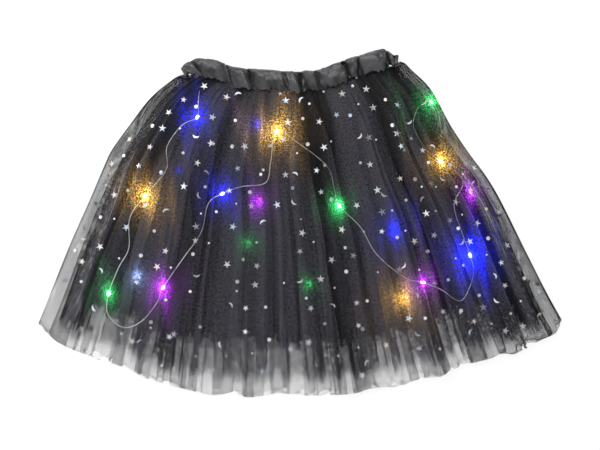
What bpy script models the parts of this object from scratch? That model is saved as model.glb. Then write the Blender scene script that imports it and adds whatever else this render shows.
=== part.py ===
"""A child's light-up tulle skirt, laid flat on its back: printed outer tulle, a plain tulle
under it, a shorter lining, a shirred waistband, and a string of tiny lamps between the two
tulles that runs across the front and then across the back.

X runs across the skirt, +Y towards the waist, +Z up. The back of the skirt rests on z = 0.
Tables and sizes are in millimetres; meshes are made in metres. A place on the cloth is given
by across, 0 at the left side to 1 at the right, and down, 0 in the waistband to 1 at the hem.
"""

import math

import bmesh
import bpy
import numpy as np
from mathutils import Matrix

MM = 0.001

# Cloth and seams
WALL = 1.3
SEAM_GAP = 0.3
LAYER = WALL + SEAM_GAP
SLACK = 0.6
LEAST_WALL = 1.05

# Shares of the skirt's width and length where each layer ends
UNDER_SIDE = 0.035
LINING_SIDE = 0.06
UNDER_SIDE_FADE = 0.01
LINING_HEM = 0.87
LINING_HEM_FADE = 0.905
UNDER_HEM = 0.975
BAND_FOOT = 0.055
BAND_FREE = 0.10

# Rows of the cloth, as shares of its length. Every layer has the rows at the waist, where
# its height changes most, so that one layer never cuts through the next.
WAIST_ROWS = (0.0, BAND_FOOT, BAND_FREE, 0.17, 0.26, 0.34, 0.46)
LINING_ROWS = WAIST_ROWS + (0.66, LINING_HEM)
UNDER_ROWS = LINING_ROWS + (LINING_HEM_FADE, UNDER_HEM)
OUTER_ROWS = UNDER_ROWS + (1.0,)

# How far the layers have sprung apart below the band, and how much of the lamp string's
# pocket is left near the hem: (down, share)
SPRING = ((BAND_FOOT, 0.0), (BAND_FREE, 0.6), (0.17, 0.85), (0.26, 1.0))
POCKET_TAIL = ((LINING_HEM, 1.0), (LINING_HEM_FADE, 0.6), (UNDER_HEM, 0.12), (1.0, 0.08))
POCKET = 2.6
POCKET_SIDE_REACH = 12.0
FOLD_SIDE_REACH = 22.0

# Highest fold of each hidden layer, and how many folds it has round its half of the skirt
FOLD_HEIGHT = {
    "outer_tulle_back": 1.0,
    "under_tulle_back": 1.0,
    "lining_back": 0.8,
    "lining_front": 1.0,
    "under_tulle_front": 2.0,
}
FOLD_COUNT = {
    "outer_tulle_back": 16,
    "under_tulle_back": 16,
    "lining_back": 12,
    "lining_front": 14,
    "under_tulle_front": 20,
}

# The back's own folds are narrow, so that the cloth between them rests flat: half their width
# as a share of their spacing
BACK_FOLD_HALF = 0.2

# Waistband: the strip is folded over the tops of the six panels
BAND_HEIGHT = 18.5
BAND_END_HEIGHT = 8.5
BAND_END_TAPER = (22.0, 14.0)
BAND_SPAN = (0.03, 0.97)
CLOTH_TOP = 4.0
CLOTH_BELOW_BAND = 2.0
CAVITY_TOP = 2.5
FLAP_INNER = 0.3
FLAP_WALL = 1.1
OUTER_FLAP_WALL = 1.2
CAVITY_FROM = FLAP_INNER + FLAP_WALL
CAVITY_TO = CAVITY_FROM + SEAM_GAP + 3 * LAYER
BAND_HALF = CAVITY_TO + OUTER_FLAP_WALL
PINCHED_CAVITY = 1.0
WAIST_GAP = 2 * (FLAP_INNER + FLAP_WALL + SEAM_GAP) + WALL

# Top edge of the waistband, left to right: (x, y)
BAND_TOP = (
    (-112.6, 147.3),
    (-105.0, 153.0),
    (-94.5, 155.8),
    (-78.4, 153.9),
    (-62.2, 148.2),
    (-35.6, 145.4),
    (0.5, 143.8),
    (21.4, 146.3),
    (41.3, 153.9),
    (66.0, 161.5),
    (79.3, 164.4),
    (89.8, 159.6),
)

# Lean of the band's height to the right of straight down: (share along the band, degrees)
BAND_LEAN = ((0.0, 30.0), (0.1, 20.0), (0.25, 5.0), (0.5, 0.0), (0.7, 12.0), (0.9, 6.0), (1.0, 0.0))

# Tucks between the band's puffs: (share along the band, height of the puff after it)
BAND_TUCKS = (
    (0.075, 2.2),
    (0.235, 1.4),
    (0.330, 2.0),
    (0.490, 1.2),
    (0.555, 1.4),
    (0.630, 2.3),
    (0.765, 1.4),
    (0.825, 2.4),
    (0.965, 0.8),
)

# Side edges below the band and the hem, as laid: (x, y)
LEFT_EDGE = (
    (-111.0, 134.0),
    (-124.0, 130.5),
    (-142.0, 117.8),
    (-161.0, 94.0),
    (-178.0, 70.3),
    (-184.8, 56.0),
    (-199.0, 22.8),
    (-218.0, -20.0),
    (-237.0, -67.5),
    (-248.4, -96.0),
)
RIGHT_EDGE = (
    (91.0, 144.5),
    (107.0, 141.5),
    (124.0, 127.3),
    (143.0, 94.0),
    (162.0, 65.6),
    (176.2, 46.6),
    (190.5, 22.8),
    (214.0, -24.7),
    (233.2, -62.7),
    (249.4, -92.0),
)
HEM = (
    (-248.4, -96.0),
    (-228.0, -113.0),
    (-203.8, -123.5),
    (-184.8, -131.1),
    (-165.8, -135.9),
    (-146.8, -145.4),
    (-123.0, -153.0),
    (-94.5, -159.6),
    (-80.3, -162.5),
    (-63.2, -159.6),
    (-49.9, -164.4),
    (-18.5, -160.6),
    (10.0, -162.5),
    (52.7, -160.6),
    (67.0, -155.8),
    (95.5, -153.9),
    (114.5, -146.3),
    (133.5, -144.4),
    (147.7, -136.8),
    (181.0, -127.3),
    (192.0, -122.5),
    (203.0, -123.5),
    (214.2, -118.2),
    (228.5, -110.2),
    (242.7, -103.6),
    (249.4, -92.0),
)

# Folds of the outer front, left to right: (across, height, share of the length where it starts)
FRONT_FOLDS = (
    (0.070, 1.6, 0.35),
    (0.097, 2.4, 0.15),
    (0.124, 2.0, 0.50),
    (0.155, 3.0, 0.10),
    (0.189, 2.2, 0.40),
    (0.229, 3.6, 0.06),
    (0.265, 2.6, 0.30),
    (0.303, 2.2, 0.55),
    (0.338, 3.0, 0.06),
    (0.374, 2.4, 0.40),
    (0.408, 4.0, 0.20),
    (0.437, 2.0, 0.55),
    (0.466, 2.8, 0.06),
    (0.492, 2.0, 0.35),
    (0.519, 3.2, 0.06),
    (0.561, 2.6, 0.45),
    (0.597, 3.4, 0.06),
    (0.628, 4.0, 0.06),
    (0.660, 2.4, 0.30),
    (0.691, 3.0, 0.10),
    (0.725, 2.4, 0.45),
    (0.754, 3.6, 0.06),
    (0.781, 3.2, 0.10),
    (0.809, 2.6, 0.35),
    (0.844, 3.8, 0.06),
    (0.874, 2.2, 0.45),
    (0.904, 3.0, 0.12),
    (0.930, 2.0, 0.40),
)
FOLD_START_LENGTH = 0.25
FOLD_SHOULDER = 0.55
FOLD_SHOULDER_AT = 0.3
FOLD_FOOT_AT = 0.62

# Broad rolls of the outer front: (across at the waist, across at the hem, half width, height)
FRONT_ROLLS = (
    (0.20, 0.14, 0.055, 2.2),
    (0.34, 0.36, 0.080, 2.6),
    (0.50, 0.53, 0.060, 1.8),
    (0.70, 0.74, 0.050, 3.0),
    (0.86, 0.88, 0.050, 2.0),
)

# Route of the lamp string in its order, across the front and then across the back: (x, y)
LAMP_LONG, LAMP_WIDE, LAMP_HIGH = 5.0, 3.0, 2.0
WIRE_WIDE = 0.8
WIRE_POINTS = 4
BENT_WIRE_POINTS = 6
BENT_WIRES = (4, 11, 12)
FRONT_STRING = (
    ("wire", (-94.5, 126.0), (-95.5, 114.0)),
    ("lamp", (-96.4, 100.7)),
    ("wire", (-110.7, 93.1), (-124.9, 73.2), (-124.9, 53.2), (-136.3, 37.1)),
    ("lamp", (-145.8, 26.6)),
    ("wire", (-160.1, 5.7), (-161.0, -22.8), (-170.5, -40.9)),
    ("lamp", (-180.0, -65.6)),
    ("wire", (-180.9, -84.6), (-166.7, -97.5), (-149.6, -92.2), (-134.4, -74.1)),
    ("lamp", (-128.7, -59.9)),
    ("wire", (-109.7, -32.3), (-92.6, -7.6), (-86.0, 19.0)),
    ("lamp", (-72.7, 28.5)),
    ("wire", (-54.6, 35.2), (-31.8, 39.0), (-27.1, 58.9)),
    ("lamp", (-21.4, 87.4)),
    ("wire", (0.5, 75.1), (26.1, 54.2), (32.8, 33.3)),
    ("lamp", (37.5, 17.1)),
    ("wire", (57.5, -2.9), (72.7, -28.5), (99.3, -50.4)),
    ("lamp", (116.4, -55.1)),
    ("wire", (133.5, -61.8), (152.5, -72.2), (163.9, -48.5)),
    ("lamp", (161.0, -29.5)),
    ("wire", (153.4, -8.6), (145.8, 18.1), (154.4, 40.9)),
    ("lamp", (133.5, 58.9)),
    ("wire", (120.2, 69.4), (108.0, 91.2), (111.0, 108.0), (117.5, 113.6)),
    ("lamp", (125.0, 116.0)),
)
BACK_STRING = (
    ("wire", (143.5, 88.0), (160.0, 55.0), (170.0, 38.0)),
    ("lamp", (162.0, 29.5)),
    ("wire", (146.0, 14.0), (120.0, 12.0), (101.0, 8.0)),
    ("lamp", (88.8, -5.7)),
    ("wire", (79.0, -30.0), (82.0, -56.0), (90.0, -68.0)),
    ("lamp", (96.4, -70.3)),
    ("wire", (76.0, -80.0), (48.0, -78.0), (24.0, -66.0)),
    ("lamp", (10.0, -56.0)),
    ("wire", (6.0, -34.0), (-14.0, -6.0), (-30.0, 10.0)),
    ("lamp", (-37.5, 20.9)),
    ("wire", (-30.0, 44.0), (-26.0, 66.0), (-32.0, 86.0)),
    ("lamp", (-40.4, 94.0)),
    ("wire", (-62.0, 102.0), (-88.0, 88.0), (-104.0, 64.0)),
    ("lamp", (-113.5, 50.4)),
    ("wire", (-122.0, 24.0), (-132.0, -4.0), (-146.0, -32.0)),
    ("lamp", (-152.5, -49.4)),
    ("wire", (-128.0, -44.0), (-100.0, -34.0), (-74.0, -22.0)),
    ("lamp", (-48.9, -18.1)),
)

# Battery case in its place between the lining's front and back: middle, size
BOX_X, BOX_Y = -64.0, 77.0
BOX_WIDE, BOX_LONG, BOX_HIGH = 22.0, 36.0, 5.5
BOX_EDGE = 1.0
BOX_LIFT = 7.0
BOX_LIFT_REACH = 36.0

# Middle of the laid skirt, which the frame's origin is moved to: (x, y)
MIDDLE = (0.5, 0.5)

COLOURS = {
    "printed_tulle": (0.03, 0.03, 0.035, 1.0),
    "plain_tulle": (0.025, 0.025, 0.03, 1.0),
    "lining": (0.008, 0.008, 0.01, 1.0),
    "satin_band": (0.03, 0.03, 0.035, 1.0),
    "silver_wire": (0.75, 0.75, 0.75, 1.0),
    "lamp_drop": (0.9, 0.9, 0.95, 1.0),
    "battery_case": (0.02, 0.02, 0.02, 1.0),
}
METAL = {"silver_wire"}
ROUGHNESS = {"satin_band": 0.45, "silver_wire": 0.25, "lamp_drop": 0.15, "battery_case": 0.4}


def share(value, start, end):
    """How far a value has gone from start to end, held between 0 and 1."""
    return min(max((value - start) / (end - start), 0.0), 1.0)


def soft(value):
    """A share eased at both ends."""
    return value * value * (3 - 2 * value)


def read_table(table, value):
    return float(np.interp(value, [row[0] for row in table], [row[1] for row in table]))


class Path:
    """A smooth curve through a few points, read by its share of length."""

    STEPS = 8

    def __init__(self, points):
        points = np.array(points, float)
        ends = (2 * points[0] - points[1], 2 * points[-1] - points[-2])
        held = np.vstack([ends[0], points, ends[1]])
        fine = [points[0]]
        for i in range(1, len(held) - 2):
            before, start, end, after = held[i - 1 : i + 3]
            for step in range(1, self.STEPS + 1):
                t = step / self.STEPS
                fine.append(
                    0.5
                    * (
                        2 * start
                        + (end - before) * t
                        + (2 * before - 5 * start + 4 * end - after) * t**2
                        + (3 * start - before - 3 * end + after) * t**3
                    )
                )
        self.points = np.array(fine)
        steps = np.linalg.norm(np.diff(self.points, axis=0), axis=1)
        self.run = np.concatenate([[0.0], np.cumsum(steps)])
        self.length = self.run[-1]

    def at(self, part):
        where = part * self.length
        return np.array([np.interp(where, self.run, column) for column in self.points.T])

    def along(self, part):
        """Unit direction of the curve at a share of its length."""
        step = 0.01
        low, high = max(part - step, 0.0), min(part + step, 1.0)
        way = self.at(high) - self.at(low)
        return way / np.linalg.norm(way)


def moved(points):
    """A table's points with the origin at the middle of the laid skirt."""
    return [np.array(point, float) - MIDDLE for point in points]


band_top = Path(moved(BAND_TOP))
hem = Path(moved(HEM))


def band_height(part):
    """Height of the band, less at its two ends, where it turns under."""
    left = share(part * band_top.length, 0, BAND_END_TAPER[0])
    right = share((1 - part) * band_top.length, 0, BAND_END_TAPER[1])
    return BAND_END_HEIGHT + (BAND_HEIGHT - BAND_END_HEIGHT) * soft(min(left, right))


def band_down(part):
    """Unit direction from the band's top edge to its foot."""
    lean = math.radians(read_table(BAND_LEAN, part))
    return np.array([math.sin(lean), -math.cos(lean)])


def below_band_top(part, drop):
    return band_top.at(part) + drop * band_down(part)


def band_share(across):
    return BAND_SPAN[0] + (BAND_SPAN[1] - BAND_SPAN[0]) * across


def band_foot(across):
    part = band_share(across)
    return below_band_top(part, band_height(part) + CLOTH_BELOW_BAND)


left_edge = Path([band_foot(0.0)] + moved(LEFT_EDGE))
right_edge = Path([band_foot(1.0)] + moved(RIGHT_EDGE))


def place(across, down):
    """Where a point of the cloth lies, in mm: straight inside the band, and below it a patch
    between the band's foot, the two side edges and the hem."""
    if down <= BAND_FOOT:
        part = band_share(across)
        foot = band_height(part) + CLOTH_BELOW_BAND
        return below_band_top(part, CLOTH_TOP + (foot - CLOTH_TOP) * down / BAND_FOOT)
    fall = (down - BAND_FOOT) / (1 - BAND_FOOT)
    ruled = (1 - fall) * band_foot(across) + fall * hem.at(across)
    sides = (1 - across) * left_edge.at(fall) + across * right_edge.at(fall)
    corners = (1 - fall) * ((1 - across) * band_foot(0.0) + across * band_foot(1.0))
    corners = corners + fall * ((1 - across) * hem.at(0.0) + across * hem.at(1.0))
    return ruled + sides - corners


def find(x, y):
    """The (across, down) of a point of the laid skirt, by stepping towards it."""
    spot = np.array([0.5, 0.5])
    nudge = 1e-3
    for _ in range(30):
        here = place(*spot)
        right = (place(spot[0] + nudge, spot[1]) - here) / nudge
        lower = (place(spot[0], spot[1] + nudge) - here) / nudge
        step = np.linalg.solve(np.column_stack([right, lower]), np.array([x, y]) - here)
        spot = np.clip(spot + 0.7 * step, 0.002, 0.998)
    return spot


def panel_width(down):
    fall = share(down, BAND_FOOT, 1.0)
    return float(np.linalg.norm(right_edge.at(fall) - left_edge.at(fall)))


def spread(across, down, inset, reach):
    """0 at a layer's side edge, rising to 1 within it, and 0 in the band."""
    inside = (min(across, 1 - across) - inset) * panel_width(down)
    return (1 - math.exp(-max(inside, 0.0) / reach)) * read_table(SPRING, down)


def box_lift(across, down):
    """How much the battery case raises the front layers over it."""
    x, y = place(across, down)
    aside = max(abs(x - BOX_X) - BOX_WIDE / 2, 0.0)
    beyond = max(abs(y - BOX_Y) - BOX_LONG / 2, 0.0)
    return BOX_LIFT * soft(1 - min(math.hypot(aside, beyond) / BOX_LIFT_REACH, 1.0))


def heights(across, down):
    """Each layer's lowest height here, and the room its own folds may take, in mm."""
    edge = min(across, 1 - across)
    freed = share(down, BAND_FOOT, BAND_FREE)
    under = share(edge, UNDER_SIDE_FADE, UNDER_SIDE) * share(down, 1.0, UNDER_HEM)
    lining = share(edge, UNDER_SIDE, LINING_SIDE) * share(down, LINING_HEM_FADE, LINING_HEM)
    under = 1 + (under - 1) * freed
    lining = 1 + (lining - 1) * freed
    slack = SLACK * spread(across, down, 0.0, FOLD_SIDE_REACH)
    pocket = POCKET * spread(across, down, 0.0, POCKET_SIDE_REACH) * read_table(POCKET_TAIL, down)
    room = {}
    for name, height in FOLD_HEIGHT.items():
        inset, here = 0.0, 1.0
        if name.startswith("under"):
            inset, here = UNDER_SIDE, under
        if name.startswith("lining"):
            inset, here = LINING_SIDE, lining
        room[name] = height * here * spread(across, down, inset, FOLD_SIDE_REACH)
    low = {"outer_tulle_back": (OUTER_FLAP_WALL + SEAM_GAP) * (1 - freed)}
    low["under_tulle_back"] = low["outer_tulle_back"] + LAYER + room["outer_tulle_back"] + pocket
    low["lining_back"] = low["under_tulle_back"] + under * (LAYER + slack) + room["under_tulle_back"]
    between = WAIST_GAP + (LAYER + slack - WAIST_GAP) * freed
    low["lining_front"] = low["lining_back"] + lining * between + room["lining_back"]
    low["lining_front"] += box_lift(across, down) * read_table(SPRING, down)
    low["under_tulle_front"] = low["lining_front"] + lining * (LAYER + slack) + room["lining_front"]
    low["outer_tulle_front"] = (
        low["under_tulle_front"] + under * (LAYER + slack) + room["under_tulle_front"] + pocket
    )
    return low, room


def even_folds(count, inset, phase):
    """Crests of a hidden layer's folds, uneven by a few shares of their spacing."""
    crests = []
    for i in range(count):
        middle = (i + 0.5 + 0.22 * math.sin(2.3 * i + phase)) / count
        crests.append(inset + (1 - 2 * inset) * middle)
    return crests


def fold_height_share(crest, phase):
    return 0.64 + 0.26 * math.sin(19.0 * crest + phase)


def roll_height(across, down):
    """Broad rolls of the outer front, which lean outwards towards the hem."""
    total = 0.0
    for top, foot, half, height in FRONT_ROLLS:
        middle = top + (foot - top) * down
        total += height * soft(1 - min(abs(across - middle) / half, 1.0))
    return total * read_table(SPRING, down)


def front_fold_columns():
    """Columns of the outer front: (across, share of the fold's height, fold's height, start)."""
    columns = [(0.0, 0.0, 0.0, 0.0), (UNDER_SIDE / 2, 0.0, 0.0, 0.0), (UNDER_SIDE, 0.0, 0.0, 0.0)]
    columns.append((LINING_SIDE, 0.0, 0.0, 0.0))
    for i, (crest, height, start) in enumerate(FRONT_FOLDS):
        following = FRONT_FOLDS[i + 1][0] if i + 1 < len(FRONT_FOLDS) else 1 - LINING_SIDE
        columns.append((crest, 1.0, height, start))
        columns.append((crest + FOLD_SHOULDER_AT * (following - crest), FOLD_SHOULDER, height, start))
        columns.append((crest + FOLD_FOOT_AT * (following - crest), 0.0, height, start))
    for across in (1 - LINING_SIDE, 1 - UNDER_SIDE, 1 - UNDER_SIDE / 2, 1.0):
        columns.append((across, 0.0, 0.0, 0.0))
    return columns


def outer_front_grid():
    """Underside heights of the outer front over its rows and columns."""
    grid = []
    for down in OUTER_ROWS:
        row = []
        for across, part, height, start in front_fold_columns():
            low, _ = heights(across, down)
            open_fold = soft(share(down, start, start + FOLD_START_LENGTH))
            side = spread(across, down, UNDER_SIDE, FOLD_SIDE_REACH)
            fold = part * height * open_fold * side
            row.append((across, down, low["outer_tulle_front"] + roll_height(across, down) + fold))
        grid.append(row)
    return grid


def hidden_grid(name, rows, inset, phase):
    """Underside heights of one of the other layers: a crest and a trough for each fold."""
    crests = even_folds(FOLD_COUNT[name], inset, phase)
    columns = [(inset, 0.0)]
    if inset < UNDER_SIDE:
        columns += [(UNDER_SIDE / 2, 0.0), (UNDER_SIDE, 0.0), (LINING_SIDE, 0.0)]
        crests = even_folds(FOLD_COUNT[name], LINING_SIDE, phase)
    elif inset < LINING_SIDE:
        columns.append((LINING_SIDE, 0.0))
        crests = even_folds(FOLD_COUNT[name], LINING_SIDE, phase)
    edges = [across for across, _ in columns]
    half = BACK_FOLD_HALF / FOLD_COUNT[name]
    for crest, following in zip(crests, crests[1:] + [None]):
        crown = (crest, fold_height_share(crest, phase))
        if name == "outer_tulle_back":
            columns += [(crest - half, 0.0), crown, (crest + half, 0.0)]
            continue
        columns.append(crown)
        if following is not None:
            columns.append(((crest + following) / 2, 0.0))
    columns += [(1 - across, 0.0) for across in reversed(edges)]
    grid = []
    for down in rows:
        row = []
        for across, part in columns:
            low, room = heights(across, down)
            row.append((across, down, low[name] + part * room[name]))
        grid.append(row)
    return grid


def material(kind):
    """A plain finish of the piece's colour."""
    made = bpy.data.materials.new(kind)
    made.use_nodes = True
    shader = made.node_tree.nodes["Principled BSDF"]
    shader.inputs["Base Color"].default_value = COLOURS[kind]
    shader.inputs["Metallic"].default_value = 1.0 if kind in METAL else 0.0
    shader.inputs["Roughness"].default_value = ROUGHNESS.get(kind, 0.8)
    return made


def finish(shape, name, finish_material, smooth=True):
    """Turn a bmesh in mm into a named object in metres, faces outwards."""
    shape.normal_update()
    bmesh.ops.recalc_face_normals(shape, faces=shape.faces)
    bmesh.ops.scale(shape, vec=(MM, MM, MM), verts=shape.verts)
    mesh = bpy.data.meshes.new(name)
    shape.to_mesh(mesh)
    shape.free()
    if smooth:
        mesh.shade_smooth()
        mesh.set_sharp_from_angle(angle=math.radians(50))
    mesh.materials.append(finish_material)
    made = bpy.data.objects.new(name, mesh)
    bpy.context.scene.collection.objects.link(made)
    return made


def wall_heights(row, points):
    """Upper side of a row of cloth: thicker, measured upwards, where it stands steeper."""
    tops = []
    last = len(row) - 1
    for i, (_, _, low) in enumerate(row):
        slope = 0.0
        for j in (i - 1, i + 1):
            if 0 <= j <= last:
                apart = np.linalg.norm(points[j] - points[i])
                slope = max(slope, abs(row[j][2] - low) / apart)
        tops.append(low + max(WALL, LEAST_WALL * math.sqrt(1 + slope * slope)))
    return tops


def cloth_panel(name, grid, finish_material):
    """One panel: a grid of points for its underside, one for its upper side, and a rim."""
    shape = bmesh.new()
    lower, upper = [], []
    for row in grid:
        points = [place(across, down) for across, down, _ in row]
        tops = wall_heights(row, points)
        lower.append([shape.verts.new((*point, low)) for point, (_, _, low) in zip(points, row)])
        upper.append([shape.verts.new((*point, top)) for point, top in zip(points, tops)])
    for r in range(len(grid) - 1):
        for c in range(len(grid[0]) - 1):
            for side, turn in ((lower, 1), (upper, -1)):
                start, end = side[r][c], side[r + 1][c + 1]
                shape.faces.new((start, side[r][c + 1], end)[::turn])
                shape.faces.new((start, end, side[r + 1][c])[::turn])
    around = [(0, c) for c in range(len(grid[0]))]
    around += [(r, len(grid[0]) - 1) for r in range(1, len(grid))]
    around += [(len(grid) - 1, c) for c in range(len(grid[0]) - 2, -1, -1)]
    around += [(r, 0) for r in range(len(grid) - 2, 0, -1)]
    for (r1, c1), (r2, c2) in zip(around, around[1:] + around[:1]):
        shape.faces.new((lower[r1][c1], upper[r1][c1], upper[r2][c2], lower[r2][c2]))
    return finish(shape, name, finish_material)


def band_section(part, puff, turned, pinch):
    """Section of the folded strip at one place of the loop: the strip's outer flap, its fold
    at the top, and the flap inside the skirt. puff is how far the outer flap stands out, and
    turned is the angle from the front, 0, to the back, a half turn."""
    height = band_height(part)
    cavity_to = CAVITY_TO + (CAVITY_FROM + PINCHED_CAVITY - CAVITY_TO) * pinch
    outside = cavity_to + OUTER_FLAP_WALL
    rise = 0.45 * puff
    profile = (
        (height, cavity_to),
        (height, outside + 0.35 * puff),
        (0.68 * height, outside + puff),
        (0.34 * height, outside + puff),
        (0.10 * height - rise, outside + 0.3 * puff - 0.4 * (puff > 0)),
        (-rise, 0.65 * outside),
        (-rise, 0.25 * outside + FLAP_INNER),
        (1.2, FLAP_INNER),
        (height - 1.0, FLAP_INNER),
        (height - 1.0, CAVITY_FROM),
        (CAVITY_TOP, CAVITY_FROM),
        (CAVITY_TOP, cavity_to),
    )
    down = band_down(part)
    way = np.array([-down[1], down[0]]) * (1 if part > 0.5 else -1)
    ring = []
    for drop, out in profile:
        point = below_band_top(part, drop) + way * out * math.sin(turned)
        ring.append((point[0], point[1], BAND_HALF + out * math.cos(turned)))
    return ring


def front_band_stations():
    """Places along the front of the band, with the height of its puff there."""
    stops = [0.0] + [tuck for tuck, _ in BAND_TUCKS] + [1.0]
    puffs = [0.8] + [height for _, height in BAND_TUCKS]
    stations = []
    for start, end, height in zip(stops, stops[1:], puffs):
        stations.append((start, 0.0))
        for part, swell in ((0.2, 0.8), (0.5, 1.0), (0.8, 0.75)):
            stations.append((start + part * (end - start), height * swell))
    stations.append((1.0, 0.0))
    return stations


def waistband(finish_material):
    """The shirred strip as one loop: front, right end, back, left end."""
    turns = 6
    back_stations = 22
    sections = [band_section(part, puff, 0.0, 0.0) for part, puff in front_band_stations()]
    for i in range(1, turns):
        pinch = math.sin(math.pi * i / turns)
        sections.append(band_section(1.0, 0.0, math.pi * i / turns, pinch))
    for i in range(back_stations + 1):
        sections.append(band_section(1 - i / back_stations, 0.0, math.pi, 0.0))
    for i in range(turns - 1, 0, -1):
        pinch = math.sin(math.pi * i / turns)
        sections.append(band_section(0.0, 0.0, math.pi * i / turns, pinch))
    shape = bmesh.new()
    rings = [[shape.verts.new(point) for point in section] for section in sections]
    for ring, following in zip(rings, rings[1:] + rings[:1]):
        for i in range(len(ring)):
            j = (i + 1) % len(ring)
            shape.faces.new((ring[i], ring[j], following[j], following[i]))
    return finish(shape, "waistband", finish_material)


def string_level(across, down, on_front, half):
    """Middle height of a wire or lamp that rests on the cloth under it, and lower where the
    pocket is too shallow for that."""
    low, room = heights(across, down)
    beside_under = min(across, 1 - across) < UNDER_SIDE
    floor_name = "under_tulle_front" if on_front and not beside_under else "outer_tulle_back"
    ceiling = low["outer_tulle_front" if on_front or beside_under else "under_tulle_back"]
    floor = low[floor_name] + WALL + room[floor_name]
    return min(floor + SEAM_GAP + half, (floor + ceiling) / 2)


def string_height(x, y, on_front, half):
    """The string's level, straight between the rows that every layer has."""
    across, down = find(x, y)
    above = max(row for row in OUTER_ROWS if row <= down)
    below = min(row for row in OUTER_ROWS if row > down)
    part = (down - above) / (below - above)
    start = string_level(across, above, on_front, half)
    return start + part * (string_level(across, below, on_front, half) - start)


def string_route():
    """The whole string: route points in mm with their heights, and the places of its lamps."""
    route, lamps = [], []
    for on_front, rows in ((True, FRONT_STRING), (False, BACK_STRING)):
        for kind, *points in rows:
            half = LAMP_HIGH / 2 if kind == "lamp" else WIRE_WIDE / 2
            for x, y in moved(points):
                if kind == "lamp":
                    lamps.append(len(route))
                route.append((x, y, string_height(x, y, on_front, half)))
    return route, lamps


def lamp(number, middle, way, finish_material):
    """A drop of clear resin over one tiny lamp, longer along the wire."""
    shape = bmesh.new()
    bmesh.ops.create_uvsphere(shape, u_segments=8, v_segments=4, radius=0.5)
    bmesh.ops.rotate(shape, verts=shape.verts, matrix=Matrix.Rotation(math.pi / 2, 3, "Y"))
    bmesh.ops.scale(shape, verts=shape.verts, vec=(LAMP_LONG, LAMP_WIDE, LAMP_HIGH))
    level = math.hypot(way[0], way[1])
    across = (-way[1] / level, way[0] / level, 0.0)
    over = np.cross(way, across)
    for vert in shape.verts:
        x, y, z = vert.co
        vert.co = np.array(middle) + x * np.array(way) + y * np.array(across) + z * over
    return finish(shape, f"lamp_{number:02d}", finish_material)


def wire(number, points, finish_material):
    """One stretch of the string between two lamps."""
    curve = bpy.data.curves.new(f"wire_{number:02d}", "CURVE")
    curve.dimensions = "3D"
    curve.bevel_depth = WIRE_WIDE / 2 * MM
    curve.bevel_resolution = 2
    curve.use_fill_caps = True
    spline = curve.splines.new("POLY")
    spline.points.add(len(points) - 1)
    for held, point in zip(spline.points, points):
        held.co = (point[0] * MM, point[1] * MM, point[2] * MM, 1.0)
    curve.materials.append(finish_material)
    made = bpy.data.objects.new(curve.name, curve)
    bpy.context.scene.collection.objects.link(made)
    return made


def lamp_string(wire_material, lamp_material):
    """Lamps on the string's route and a stretch of wire up to each of them."""
    route, lamps = string_route()
    path = Path(route)
    stops = [path.run[index * Path.STEPS] / path.length for index in lamps]
    clear = (LAMP_LONG / 2 + SEAM_GAP) / path.length
    start = 0.0
    for number, stop in enumerate(stops, 1):
        count = BENT_WIRE_POINTS if number in BENT_WIRES else WIRE_POINTS
        parts = np.linspace(start, stop - clear, count)
        wire(number, [path.at(part) for part in parts], wire_material)
        lamp(number, path.at(stop), path.along(stop), lamp_material)
        start = stop + clear


def battery_case(finish_material):
    """A flat case for button cells, with rounded edges."""
    across, down = find(BOX_X, BOX_Y)
    low, room = heights(across, down)
    floor = low["lining_back"] + WALL + room["lining_back"] + SEAM_GAP
    shape = bmesh.new()
    bmesh.ops.create_cube(shape, size=1.0)
    bmesh.ops.scale(shape, verts=shape.verts, vec=(BOX_WIDE, BOX_LONG, BOX_HIGH))
    bmesh.ops.bevel(
        shape,
        geom=shape.edges[:],
        offset=BOX_EDGE,
        offset_type="OFFSET",
        segments=1,
        profile=0.5,
        affect="EDGES",
        material=-1,
    )
    bmesh.ops.translate(shape, verts=shape.verts, vec=(BOX_X, BOX_Y, floor + BOX_HIGH / 2))
    return finish(shape, "battery_case", finish_material, smooth=False)


def build():
    for thing in list(bpy.data.objects):
        bpy.data.objects.remove(thing, do_unlink=True)
    finishes = {kind: material(kind) for kind in COLOURS}
    printed, plain, lining = finishes["printed_tulle"], finishes["plain_tulle"], finishes["lining"]
    cloth_panel("outer_tulle_front", outer_front_grid(), printed)
    grid = hidden_grid("outer_tulle_back", OUTER_ROWS, 0.0, 0.4)
    cloth_panel("outer_tulle_back", grid, printed)
    grid = hidden_grid("under_tulle_front", UNDER_ROWS, UNDER_SIDE, 1.7)
    cloth_panel("under_tulle_front", grid, plain)
    grid = hidden_grid("under_tulle_back", UNDER_ROWS, UNDER_SIDE, 2.9)
    cloth_panel("under_tulle_back", grid, plain)
    grid = hidden_grid("lining_front", LINING_ROWS, LINING_SIDE, 4.1)
    cloth_panel("lining_front", grid, lining)
    grid = hidden_grid("lining_back", LINING_ROWS, LINING_SIDE, 5.2)
    cloth_panel("lining_back", grid, lining)
    waistband(finishes["satin_band"])
    battery_case(finishes["battery_case"])
    lamp_string(finishes["silver_wire"], finishes["lamp_drop"])


build()
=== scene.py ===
"""Looks of a child's light-up tulle skirt, laid flat on its back on a white table.

The pieces come in the order in which the skirt is put together: the lamp string, the lining, the
plain tulle, the printed tulle with its foil marks, the waistband and the battery case. Meshes are
in metres. Tables of places are in millimetres on the laid skirt, as a maker would measure them.
"""

import math

import bmesh
import bpy
import numpy as np
from mathutils import Matrix, Vector
from mathutils.bvhtree import BVHTree
from mathutils.kdtree import KDTree


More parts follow.
